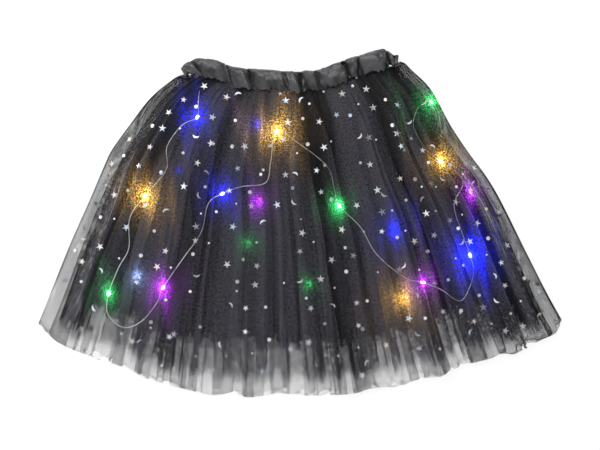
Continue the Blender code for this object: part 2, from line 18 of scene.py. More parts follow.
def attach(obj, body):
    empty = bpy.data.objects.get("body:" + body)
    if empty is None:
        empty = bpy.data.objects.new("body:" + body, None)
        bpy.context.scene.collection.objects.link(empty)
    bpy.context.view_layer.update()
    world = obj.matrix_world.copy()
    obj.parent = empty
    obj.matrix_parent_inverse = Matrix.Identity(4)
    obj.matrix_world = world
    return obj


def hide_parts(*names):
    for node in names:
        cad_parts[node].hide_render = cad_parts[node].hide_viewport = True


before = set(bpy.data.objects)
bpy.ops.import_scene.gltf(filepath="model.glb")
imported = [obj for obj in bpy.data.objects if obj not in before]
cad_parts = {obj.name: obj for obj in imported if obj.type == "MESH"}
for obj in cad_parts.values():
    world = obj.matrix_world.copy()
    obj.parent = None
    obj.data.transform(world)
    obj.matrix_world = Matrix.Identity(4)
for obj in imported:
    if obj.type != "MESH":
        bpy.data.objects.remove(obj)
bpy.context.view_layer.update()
scene = bpy.context.scene


# Camera, table and light: the camera looks straight down at the skirt on a white table, in the
# even light of a pale room, with one broad soft lamp up and to the left.
VIEW_WIDE = 0.570
VIEW_MIDDLE_Y = -0.00145
CAMERA_UP = 2.4
SENSOR_WIDE = 36.0
TABLE_HALF = 3.0
TABLE_DROP = 0.0006
TABLE_WHITE = 0.30
TABLE_GLOW = 0.74
ROOM_LIGHT = 0.62
LAYERS_SEEN_THROUGH = 40
SOFT_LAMP_PLACE = (-0.9, 1.1, 1.3)
SOFT_LAMP_WIDE = 1.0
SOFT_LAMP_POWER = 32.0

camera_data = bpy.data.cameras.new("camera")
camera_data.sensor_width = SENSOR_WIDE
camera_data.lens = SENSOR_WIDE * CAMERA_UP / VIEW_WIDE
camera = bpy.data.objects.new("camera", camera_data)
camera.location = (0.0, VIEW_MIDDLE_Y, CAMERA_UP)
scene.collection.objects.link(camera)
scene.camera = camera


def as_mesh(name, shape):
    """A new mesh of this shape, which is freed."""
    mesh = bpy.data.meshes.new(name)
    shape.to_mesh(mesh)
    shape.free()
    return mesh


table_shape = bmesh.new()
bmesh.ops.create_grid(table_shape, x_segments=1, y_segments=1, size=TABLE_HALF)
table_mesh = as_mesh("table", table_shape)
table_finish = bpy.data.materials.new("white_table")
table_finish.use_nodes = True
table_shader = table_finish.node_tree.nodes["Principled BSDF"]
table_shader.inputs["Base Color"].default_value = (TABLE_WHITE, TABLE_WHITE, TABLE_WHITE, 1.0)
table_shader.inputs["Roughness"].default_value = 0.9
table_shader.inputs["Emission Color"].default_value = (1.0, 1.0, 1.0, 1.0)
table_shader.inputs["Emission Strength"].default_value = TABLE_GLOW
table_mesh.materials.append(table_finish)
table = bpy.data.objects.new("table", table_mesh)
table.location.z = -TABLE_DROP
scene.collection.objects.link(table)

room = bpy.data.worlds.new("pale_room")
room.use_nodes = True
room.node_tree.nodes["Background"].inputs["Color"].default_value = (1.0, 1.0, 1.0, 1.0)
room.node_tree.nodes["Background"].inputs["Strength"].default_value = ROOM_LIGHT
scene.world = room
soft_lamp_data = bpy.data.lights.new("soft_lamp", "AREA")
soft_lamp_data.size = SOFT_LAMP_WIDE
soft_lamp_data.energy = SOFT_LAMP_POWER
soft_lamp = bpy.data.objects.new("soft_lamp", soft_lamp_data)
soft_lamp.location = SOFT_LAMP_PLACE
soft_lamp.rotation_euler = (-Vector(SOFT_LAMP_PLACE)).to_track_quat("-Z", "Y").to_euler()
soft_lamp.visible_camera = False
scene.collection.objects.link(soft_lamp)
scene.view_settings.view_transform = "Standard"
scene.cycles.transparent_max_bounces = LAYERS_SEEN_THROUGH


# Lamp string: a pair of fine silvered wires with a tiny lamp in a drop of clear resin every
# 10 cm. It leaves the battery case's pocket at the waist, runs across the front between the two
# tulles, turns at the right edge and comes back across the back of the skirt.
MM = 0.001
WIRE_WIDE = 0.0008
WIRE_TWIST = 0.004
LINE_STEPS = 8
LAMP_SIZE = (0.0050, 0.0030, 0.0024)
LAMP_WHITENESS = 0.4
LAMP_STRENGTH = 9.0
LAMP_COLOURS = {
    "blue": (0.004, 0.012, 1.0),
    "amber": (1.0, 0.55, 0.09),
    "green": (0.05, 1.0, 0.22),
    "purple": (0.55, 0.03, 1.0),
    "pale_blue": (0.35, 0.50, 1.0),
}

# Each row is a stretch of the string and the lamp at its end: the lamp's colour, how brightly and
# how far in mm its light is painted on the cloth, and the string's places in mm, the lamp's place last.
FRONT_STRING = (
    ("blue", 1.3, 7, (-94.5, 126.0), (-95.5, 114.0), (-96.4, 100.7)),
    ("amber", 1.0, 9, (-110.7, 93.1), (-124.9, 73.2), (-124.9, 53.2), (-136.3, 37.1), (-145.8, 26.6)),
    ("green", 0.7, 6, (-160.1, 5.7), (-161.0, -22.8), (-170.5, -40.9), (-180.0, -65.6)),
    ("purple", 0.8, 7, (-180.9, -84.6), (-166.7, -97.5), (-149.6, -92.2), (-134.4, -74.1), (-128.7, -59.9)),
    ("blue", 0.8, 8, (-109.7, -32.3), (-92.6, -7.6), (-86.0, 19.0), (-72.7, 28.5)),
    ("amber", 1.1, 9, (-54.6, 35.2), (-31.8, 39.0), (-27.1, 58.9), (-21.4, 87.4)),
    ("green", 0.9, 5, (0.5, 75.1), (26.1, 54.2), (32.8, 33.3), (37.5, 17.1)),
    ("purple", 0.8, 6, (57.5, -2.9), (72.7, -28.5), (99.3, -50.4), (116.4, -55.1)),
    ("blue", 1.5, 10, (133.5, -61.8), (152.5, -72.2), (163.9, -48.5), (161.0, -29.5)),
    ("amber", 0.75, 7, (153.4, -8.6), (145.8, 18.1), (154.4, 40.9), (133.5, 58.9)),
    ("green", 0.3, 8, (120.2, 69.4), (108.0, 91.2), (111.0, 108.0), (117.5, 113.6), (125.0, 116.0)),
)
BACK_STRING = (
    ("purple", 0.55, 8, (143.5, 88.0), (160.0, 55.0), (170.0, 38.0), (162.0, 29.5)),
    ("blue", 1.6, 8, (146.0, 14.0), (120.0, 12.0), (101.0, 8.0), (88.8, -5.7)),
    ("amber", 0.8, 11, (79.0, -30.0), (82.0, -56.0), (90.0, -68.0), (96.4, -70.3)),
    ("green", 0.6, 4, (76.0, -80.0), (48.0, -78.0), (24.0, -66.0), (10.0, -56.0)),
    ("purple", 1.3, 6, (6.0, -34.0), (-14.0, -6.0), (-30.0, 10.0), (-37.5, 20.9)),
    ("blue", 1.0, 4, (-30.0, 44.0), (-26.0, 66.0), (-32.0, 86.0), (-40.4, 94.0)),
    ("blue", 0.3, 4, (-62.0, 102.0), (-88.0, 88.0), (-104.0, 64.0), (-113.5, 50.4)),
    ("pale_blue", 1.2, 6, (-122.0, 24.0), (-132.0, -4.0), (-146.0, -32.0), (-152.5, -49.4)),
    ("green", 0.25, 7, (-128.0, -44.0), (-100.0, -34.0), (-74.0, -22.0), (-48.9, -18.1)),
)
SKIRT_MIDDLE = (0.5, 0.5)


def smooth_line(points, steps=LINE_STEPS):
    """A smooth line through a few points: its fine points, and the length run up to each."""
    points = np.array(points, float)
    held = np.vstack([2 * points[0] - points[1], points, 2 * points[-1] - points[-2]])
    part = np.arange(1, steps + 1)[:, None] / steps
    fine = [points[:1]]
    for before, start, end, after in zip(held, held[1:], held[2:], held[3:]):
        bend = 2 * before - 5 * start + 4 * end - after
        turn = 3 * start - before - 3 * end + after
        fine.append(0.5 * (2 * start + (end - before) * part + bend * part**2 + turn * part**3))
    fine = np.vstack(fine)
    run = np.concatenate([[0.0], np.cumsum(np.linalg.norm(np.diff(fine, axis=0), axis=1))])
    return fine, run


def new_finish(name, colour, roughness, metallic=0.0):
    """A material with a plain shader, and its node tree."""
    made = bpy.data.materials.new(name)
    made.use_nodes = True
    shader = made.node_tree.nodes["Principled BSDF"]
    shader.inputs["Base Color"].default_value = (*colour, 1.0)
    shader.inputs["Roughness"].default_value = roughness
    shader.inputs["Metallic"].default_value = metallic
    return made, made.node_tree, shader


def add_node(tree, kind, inputs, **settings):
    """A new node with these settings, whose inputs are values or other nodes' outputs."""
    node = tree.nodes.new(kind)
    for setting, value in settings.items():
        setattr(node, setting, value)
    for socket, value in inputs.items():
        if isinstance(value, bpy.types.NodeSocket):
            tree.links.new(value, node.inputs[socket])
        else:
            node.inputs[socket].default_value = value
    return node


def add_bump(tree, shader, height, strength, distance):
    """Fine relief of this height on a material's surface."""
    relief = {"Strength": strength, "Distance": distance, "Height": height}
    bump = add_node(tree, "ShaderNodeBump", relief)
    tree.links.new(bump.outputs["Normal"], shader.inputs["Normal"])


def object_place(tree):
    return add_node(tree, "ShaderNodeTexCoord", {}).outputs["Object"]


def solid_levels(numbers):
    """The middle height of the CAD string at any place, from its wires and lamps of these numbers."""
    close_spots = 6
    solids = [f"{kind}_{number:02d}" for number in numbers for kind in ("wire", "lamp")]
    spots = [vert.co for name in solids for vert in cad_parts[name].data.vertices]
    tree = KDTree(len(spots))
    for number, spot in enumerate(spots):
        tree.insert((spot.x, spot.y, 0.0), number)
    tree.balance()

    def level(x, y):
        close = [spots[number].z for _, number, _ in tree.find_n((x, y, 0.0), close_spots)]
        return (min(close) + max(close)) / 2

    return level


def lay_string():
    """The string's route at the height of the CAD string, and each lamp's number in the route."""
    front, whole = len(FRONT_STRING), len(FRONT_STRING) + len(BACK_STRING)
    runs = ((FRONT_STRING, range(1, front + 1)), (BACK_STRING, range(front + 1, whole + 1)))
    route, lamps = [], []
    for rows, numbers in runs:
        level = solid_levels(numbers)
        for _, _, _, *places in rows:
            for x, y in places:
                x, y = (x - SKIRT_MIDDLE[0]) * MM, (y - SKIRT_MIDDLE[1]) * MM
                route.append((x, y, level(x, y)))
            lamps.append(len(route) - 1)
    return route, lamps


def wire_finish():
    """Silvered wire, with the twist of the pair as a fine wave along it."""
    made, tree, shader = new_finish("silvered_wire", (0.85, 0.85, 0.82), roughness=0.38, metallic=1.0)
    turns = {"Scale": 0.3 / WIRE_TWIST, "Distortion": 2.0, "Vector": object_place(tree)}
    twist = add_node(tree, "ShaderNodeTexWave", turns)
    add_bump(tree, shader, twist.outputs["Fac"], strength=0.6, distance=WIRE_WIDE / 4)
    return made


def add_piece(name, shape, slot, *stands_for):
    """A piece of the looks, which rides on the skirt's body in place of these solids."""
    piece = bpy.data.objects.new(name, shape)
    scene.collection.objects.link(piece)
    if stands_for:
        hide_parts(*stands_for)
    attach(piece, "root")
    return piece


string_route, string_lamps = lay_string()
string_line, string_run = smooth_line(string_route)
wire_curve = bpy.data.curves.new("lamp_string", "CURVE")
wire_curve.dimensions = "3D"
wire_curve.bevel_depth = WIRE_WIDE / 2
wire_curve.bevel_resolution = 2
wire_curve.use_fill_caps = True
wire_spline = wire_curve.splines.new("POLY")
wire_spline.points.add(len(string_line) - 1)
for held, point in zip(wire_spline.points, string_line):
    held.co = (*point, 1.0)
wire_curve.materials.append(wire_finish())
wire_names = [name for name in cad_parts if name.startswith("wire_")]
lamp_string = add_piece("lamp_string", wire_curve, "silver_wire", *wire_names)

lamp_rows = [(*row[:3], row in FRONT_STRING) for row in FRONT_STRING + BACK_STRING]
lamp_spots = [Vector(string_route[index]) for index in string_lamps]
for colour_name, colour in LAMP_COLOURS.items():
    drops = bmesh.new()
    stood_for = []
    for number, (kind, _, _, _) in enumerate(lamp_rows):
        if kind != colour_name:
            continue
        index = string_lamps[number] * LINE_STEPS
        ahead = string_line[min(index + 1, len(string_line) - 1)]
        way = Vector(ahead - string_line[index - 1]).normalized()
        turn = way.to_track_quat("X", "Z").to_matrix().to_4x4()
        spot = Matrix.Translation(lamp_spots[number]) @ turn @ Matrix.Diagonal((*LAMP_SIZE, 1.0))
        bmesh.ops.create_uvsphere(drops, u_segments=14, v_segments=9, radius=0.5, matrix=spot)
        stood_for.append(f"lamp_{number + 1:02d}")
    drops_mesh = as_mesh(f"lamps_{colour_name}", drops)
    drops_mesh.shade_smooth()
    drop_finish, _, drop_shader = new_finish(f"lit_{colour_name}", colour, roughness=0.1)
    pale = [(1 - LAMP_WHITENESS) * c + LAMP_WHITENESS for c in colour]
    drop_shader.inputs["Emission Color"].default_value = (*pale, 1.0)
    drop_shader.inputs["Emission Strength"].default_value = LAMP_STRENGTH
    drops_mesh.materials.append(drop_finish)
    add_piece(f"lamps_{colour_name}", drops_mesh, "lamp_drop", *stood_for)


# Lining: two half rounds of fine close black net, shorter and narrower than the tulle, gathered
# into the waistband. It hides most of the back of the skirt and thins out towards its raw hem.
CUT_LONG = 0.315
NET_PITCH = 0.0013
LINING_CUT_WIDE = 0.43
LINING_SIDE = 0.06
LINING_HEM = 0.87
BAND_FOOT = 0.055
BAND_SPAN = (0.03, 0.97)
BAND_HEIGHT = 18.5
BAND_END_HEIGHT = 8.5
BAND_END_TAPER = (22.0, 14.0)
CLOTH_TOP = 4.0
CLOTH_BELOW_BAND = 2.0
HALF_WALL = 0.00065

# The outline as laid, in mm: top edge of the waistband, left to right, with the lean of its
# height to the right of straight down in degrees; the two side edges below it; and the hem.
BAND_TOP = (
    (-112.6, 147.3), (-105.0, 153.0), (-94.5, 155.8), (-78.4, 153.9), (-62.2, 148.2), (-35.6, 145.4),
    (0.5, 143.8), (21.4, 146.3), (41.3, 153.9), (66.0, 161.5), (79.3, 164.4), (89.8, 159.6),
)
BAND_LEAN = ((0.0, 30.0), (0.1, 20.0), (0.25, 5.0), (0.5, 0.0), (0.7, 12.0), (0.9, 6.0), (1.0, 0.0))
LEFT_EDGE = (
    (-112.0, 141.0), (-124.5, 134.0), (-142.5, 118.3), (-161.0, 94.0), (-178.0, 70.3),
    (-184.8, 56.0), (-199.0, 22.8), (-218.0, -20.0), (-237.0, -67.5), (-248.4, -96.0),
)
RIGHT_EDGE = (
    (96.5, 153.5), (107.5, 145.0), (125.0, 127.2), (143.0, 94.0), (162.0, 65.6),
    (176.2, 46.6), (190.5, 22.8), (214.0, -24.7), (233.2, -62.7), (249.4, -92.0),
)
HEM = (
    (-248.4, -96.0), (-228.0, -113.0), (-203.8, -123.5), (-184.8, -131.1), (-165.8, -135.9),
    (-146.8, -145.4), (-123.0, -153.0), (-94.5, -159.6), (-80.3, -162.5), (-63.2, -159.6),
    (-49.9, -164.4), (-18.5, -160.6), (10.0, -162.5), (52.7, -160.6), (67.0, -155.8),
    (95.5, -153.9), (114.5, -146.3), (133.5, -144.4), (147.7, -136.8), (181.0, -127.3),
    (192.0, -122.5), (203.0, -123.5), (214.2, -118.2), (228.5, -110.2), (242.7, -103.6),
    (249.4, -92.0),
)


def share(value, start, end):
    """How far values have gone from start to end, held between 0 and 1."""
    return np.clip((np.asarray(value, float) - start) / (end - start), 0.0, 1.0)


def soft(value):
    """A share from 0 to 1, with soft ends."""
    return value * value * (3 - 2 * value)


def bell(value, wide):
    """1 at 0, which fades away on both sides within about twice this width."""
    return np.exp(-((value / wide) ** 2))


def on_line(line, part):
    """Places at these shares of a line's length."""
    fine, run = line
    where = np.asarray(part, float) * run[-1]
    return np.stack([np.interp(where, run, column) for column in fine.T], axis=-1)


def centred(points):
    return [(x - SKIRT_MIDDLE[0], y - SKIRT_MIDDLE[1]) for x, y in points]


band_top = smooth_line(centred(BAND_TOP))
hem_line = smooth_line(centred(HEM))


def band_height(part):
    """Height of the band in mm, less at its two ends, where it turns under."""
    length = band_top[1][-1]
    left = share(part * length, 0, BAND_END_TAPER[0])
    right = share((1 - part) * length, 0, BAND_END_TAPER[1])
    return BAND_END_HEIGHT + (BAND_HEIGHT - BAND_END_HEIGHT) * soft(np.minimum(left, right))


def below_band_top(part, drop):
    """Places in mm a drop below the band's top edge."""
    angles, leans = zip(*BAND_LEAN)
    lean = np.radians(np.interp(part, angles, leans))
    down = np.stack([np.sin(lean), -np.cos(lean)], axis=-1)
    return on_line(band_top, part) + np.asarray(drop)[..., None] * down


def band_foot(across):
    part = BAND_SPAN[0] + (BAND_SPAN[1] - BAND_SPAN[0]) * np.asarray(across, float)
    return below_band_top(part, band_height(part) + CLOTH_BELOW_BAND)


left_edge = smooth_line([tuple(band_foot(0.0))] + centred(LEFT_EDGE))
right_edge = smooth_line([tuple(band_foot(1.0))] + centred(RIGHT_EDGE))


def place(across, down):
    """Places of the cloth in metres: straight inside the band, and below it a patch between the
    band's foot, the two side edges and the hem."""
    part = BAND_SPAN[0] + (BAND_SPAN[1] - BAND_SPAN[0]) * across
    foot = band_height(part) + CLOTH_BELOW_BAND
    in_band = below_band_top(part, CLOTH_TOP + (foot - CLOTH_TOP) * down / BAND_FOOT)
    fall = share(down, BAND_FOOT, 1.0)
    a, f = across[..., None], fall[..., None]
    ruled = (1 - f) * band_foot(across) + f * on_line(hem_line, across)
    sides = (1 - a) * on_line(left_edge, fall) + a * on_line(right_edge, fall)
    corners = (1 - f) * ((1 - a) * band_foot(0.0) + a * band_foot(1.0))
    corners = corners + f * ((1 - a) * on_line(hem_line, 0.0) + a * on_line(hem_line, 1.0))
    spots = np.where((down <= BAND_FOOT)[..., None], in_band, ruled + sides - corners)
    return spots * MM


def solid_middle(node, inset, hem):
    """Height of the middle of a CAD panel's wall on an even grid of rows and columns, softened
    across its folds so that they have no sharp edges."""
    rows, columns, softening = 90, 420, 9
    side_margin, end_margin = 0.003, 0.004
    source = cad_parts[node].data
    source.calc_loop_triangles()
    corners = [vert.co for vert in source.vertices]
    tree = BVHTree.FromPolygons(corners, [tuple(face.vertices) for face in source.loop_triangles])
    down, across = np.meshgrid(
        np.linspace(0.0, hem, rows), np.linspace(inset, 1 - inset, columns), indexing="ij"
    )
    across = np.clip(across, inset + side_margin, 1 - inset - side_margin)
    spots = place(across, np.clip(down, end_margin, hem - end_margin))
    level = np.full(across.shape, np.nan)
    for index in np.ndindex(level.shape):
        hit = tree.ray_cast(Vector((*spots[index], 1.0)), Vector((0, 0, -1)))[0]
        if hit is not None:
            level[index] = hit.z - HALF_WALL
    for row in level:
        missing = np.isnan(row)
        row[missing] = np.interp(np.flatnonzero(missing), np.flatnonzero(~missing), row[~missing])
    window = np.hanning(softening + 2)[1:-1]
    window /= window.sum()
    padded = np.pad(level, ((0, 0), (softening // 2, softening // 2)), mode="edge")
    return np.stack([np.convolve(row, window, mode="valid") for row in padded])


def on_solid(level, across, down):
    """Heights read from that grid at shares of its width and length, between its points."""
    column_at, row_at = across * (level.shape[1] - 1), down * (level.shape[0] - 1)
    c = np.minimum(column_at.astype(int), level.shape[1] - 2)
    r = np.minimum(row_at.astype(int), level.shape[0] - 2)
    pc, pr = column_at - c, row_at - r
    upper = level[r, c] * (1 - pc) + level[r, c + 1] * pc
    lower = level[r + 1, c] * (1 - pc) + level[r + 1, c + 1] * pc
    return upper * (1 - pr) + lower * pr


def drift(across, down, seed, waves=6):
    """Smooth, uneven wander over the cloth, about -1 to 1."""
    across_turns, down_turns, strengths = (1.0, 9.0), (0.2, 1.3), (0.5, 1.0)
    dice = np.random.default_rng(seed)
    total = 0.0
    for _ in range(waves):
        turns = dice.uniform(*across_turns) * across + dice.uniform(*down_turns) * down
        total = total + dice.uniform(*strengths) * np.sin(2 * np.pi * (turns + dice.uniform()))
    return total / math.sqrt(waves)


# Painted light of a lamp on the cloth, which the nets give off as a glow: strength, and width as a
# share of its reach, of the glow itself, of its bright middle, and of the faint haze round both
GLOW_PARTS = ((0.65, 1.0), (2.5, 0.36), (0.13, 2.3))
GLOW_FLATTENED = 0.85
GLOW_UNEVEN = 0.3


def lamp_glow(spots, strength_front, strength_back, spreading):
    """Painted light of the lamps on the cloth at these places, as a colour for each, which the nets give
    off.
    """
    light = np.zeros((len(spots), 3))
    uneven = 1 + GLOW_UNEVEN * drift(spots[:, 0] * 12, spots[:, 1] * 9, 3)
    for spot, (kind, power, reach, on_front) in zip(lamp_spots, lamp_rows):
        away = np.hypot(spots[:, 0] - spot.x, GLOW_FLATTENED * (spots[:, 1] - spot.y)) * uneven
        wide = reach * MM * spreading
        near = sum(part * bell(away, width * wide) for part, width in GLOW_PARTS)
        strength = power * (strength_front if on_front else strength_back)
        light += strength * near[:, None] * np.array(LAMP_COLOURS[kind])
    return light


# How much cloth lies over each part of the skirt's width: across, share at the waist, at the hem
FULLNESS = (
    (0.00, 3.2, 1.8),
    (0.05, 3.2, 1.6),
    (0.09, 2.4, 0.8),
    (0.14, 1.5, 0.7),
    (0.20, 1.1, 1.2),
    (0.28, 1.0, 1.1),
    (0.37, 1.0, 1.0),
    (0.43, 1.0, 0.95),
    (0.50, 1.0, 0.95),
    (0.56, 1.0, 1.4),
    (0.61, 1.0, 1.4),
    (0.65, 1.0, 1.0),
    (0.69, 1.0, 1.0),
    (0.73, 1.0, 1.5),
    (0.80, 1.3, 1.3),
    (0.87, 2.2, 1.9),
    (0.94, 3.6, 2.6),
    (1.00, 3.8, 2.8),
)
FULLNESS_SETTLED = 0.8


def fullness(across, down):
    places, waist, hem = zip(*FULLNESS)
    fall = share(down, BAND_FOOT, FULLNESS_SETTLED)
    return (1 - fall) * np.interp(across, places, waist) + fall * np.interp(across, places, hem)


def spread_cloth(points, amount):
    """Where along its row each point moves so that the cloth lies in these amounts, unstretched,
    and how much cloth then lies on each metre of the row, as a share of the cut's width."""
    steps = np.linalg.norm(np.diff(points, axis=1), axis=2) * (amount[:, 1:] + amount[:, :-1]) / 2
    runs = np.concatenate([np.zeros((len(points), 1)), np.cumsum(steps, axis=1)], axis=1)
    columns = np.arange(points.shape[1])
    source = np.stack([np.interp(np.linspace(0.0, run[-1], len(columns)), run, columns) for run in runs])
    return source, at_columns(amount, source) / runs[:, -1:]


def at_columns(values, source):
    """Values of each row read at these columns, between the grid's own."""
    low = np.minimum(source.astype(int), values.shape[1] - 2)
    part = source - low
    row = np.arange(len(values))[:, None]
    if values.ndim == 3:
        part = part[..., None]
    return values[row, low] * (1 - part) + values[row, low + 1] * part


# Painted light on broad rolls of the cloth, with painted shade in the valleys between them; the rolls
# are painted only and do not shape the cloth: across at the waist, across at the hem, half width, share of
# the light
PAINTED_ROLLS = (
    (0.06, 0.05, 0.05, 0.2),
    (0.22, 0.15, 0.07, 1.0),
    (0.40, 0.34, 0.09, 1.0),
    (0.50, 0.50, 0.07, 0.8),
    (0.70, 0.73, 0.09, 1.0),
    (0.87, 0.88, 0.06, 0.3),
)


def painted_roll_light(across, down):
    """Painted light on the rolls, with painted shade below the waistband."""
    light = -0.5 - 0.25 * share(down, 0.4, 0.1)
    for top, foot, half, height in PAINTED_ROLLS:
        middle = top + (foot - top) * down + 0.012 * np.sin(5 * down + 9 * top)
        light = light + height * soft(share(half - np.abs(across - middle), 0.0, 0.45 * half))
    return light


def flat_grid(name, columns, rows):
    """A flat grid as a new mesh, and how far across and down each point is. Row 0 is the foot."""
    shape = bmesh.new()
    bmesh.ops.create_grid(shape, x_segments=columns, y_segments=rows, size=0.5)
    mesh = as_mesh(name, shape)
    flat = np.empty(len(mesh.vertices) * 3, np.float32)
    mesh.vertices.foreach_get("co", flat)
    flat = flat.reshape(-1, 3).astype(float)
    return mesh, flat[:, 0] + 0.5, 0.5 - flat[:, 1]


def shape_grid(mesh, points, cut):
    """Move the grid's points, and keep the flat cut's metres as its map."""
    mesh.vertices.foreach_set("co", points.astype(np.float32).ravel())
    corner_vert = np.empty(len(mesh.loops), np.int32)
    mesh.loops.foreach_get("vertex_index", corner_vert)
    cut_map = mesh.uv_layers.new(name="cut")
    cut_map.data.foreach_set("uv", cut[corner_vert].astype(np.float32).ravel())


def keep_values(mesh, name, values):
    """A value for each point, which the materials read."""
    mesh.attributes.new(name=name, type="FLOAT", domain="POINT")
    mesh.attributes[name].data.foreach_set("value", values.astype(np.float32).ravel())


def seam_share(across):
    """0 at the side seams, where there are no folds, and 1 away from them."""
    return 1 - np.exp(-np.minimum(across, 1 - across) / 0.03)


def lay_folds(across, down, folds, seed):
    """The loose folds: their angle, how open they are, and how far they shift and lift the cloth."""
    crests, heights, starts, leans = (np.array(column) for column in zip(*folds))
    wander = drift(across, down, seed)
    counted = [-0.5, *np.arange(len(crests)), len(crests) - 0.5]
    turns = np.interp(across, [0.0, *crests, 1.0], counted)
    spacing = np.interp(across, crests, np.gradient(crests))
    angle = 2 * np.pi * (turns + 0.25) + 0.9 * wander * soft(share(down, 0.1, 0.6))
    start = np.interp(across, crests, starts)
    opened = soft(share(down, start, start + 0.3))
    side = seam_share(across)
    shift = np.interp(across, crests, leans) * spacing / (2 * np.pi) * opened * side
    rise = np.interp(across, crests, heights) * MM * opened * side
    return angle, opened, shift, rise


def lay_gathers(across, down, gathers, seed):
    """The fine gathers at the waist: their angle, strength, and how far they shift and lift."""
    count, lean, height, fading = gathers
    dice = np.random.default_rng(seed + 1)
    angle = 2 * np.pi * count * across + 2.4 * drift(across * 3, down * 0.7, seed + 2)
    stations = np.arange(count + 1)
    reach = np.interp(across * count, stations, fading * dice.uniform(0.5, 1.5, count + 1))
    strong = 0.95 * bell(down, reach) + 0.05
    strong *= np.interp(across * count, stations, dice.uniform(0.2, 1.2, count + 1) ** 2)
    pressed = 0.35 + 0.65 * share(down, 0.7 * BAND_FOOT, 1.6 * BAND_FOOT)
    side = seam_share(across)
    shift = lean / (2 * np.pi * count) * strong * side
    return angle, strong, shift, height * MM * strong * pressed * side


# Where much cloth lies on itself: how much fuller the turned side edges, the turned hem of a printed
# panel and the edge of a fold are, and the most cloth that shows as such
SIDE_TURN = 1.6
SIDE_TURN_WIDE = 0.0012
HEM_EDGE = 1.8
FOLD_EDGE = 1.6
FULLEST = 3.2
THINNEST = 0.1

# How much lighter the crests of the folds, of the gathers and of the broad rolls are painted: painted light
# on them and painted shade in their hollows
FOLD_PAINTED_LIGHT = 0.36
GATHER_PAINTED_LIGHT = 0.10
ROLL_PAINTED_LIGHT = 0.38

# Raised ring over the battery case's pocket
POCKET_PLACE = (-0.0646, 0.0698)
POCKET_WIDE = 0.030
POCKET_RING_WIDE = 0.004
POCKET_RISE = 0.0006


def press_pocket(spots, seed):
    """How far the pocket's ring lifts the cloth at these places, and the painted light and shade on its
    crumples.
    """
    away = np.hypot(spots[:, 0] - POCKET_PLACE[0], spots[:, 1] - POCKET_PLACE[1])
    ring = bell(away - POCKET_WIDE / 2, POCKET_RING_WIDE)
    crumple = ring * drift(spots[:, 0] * 45, spots[:, 1] * 160, seed)
    return POCKET_RISE * (ring + crumple), 0.35 * crumple


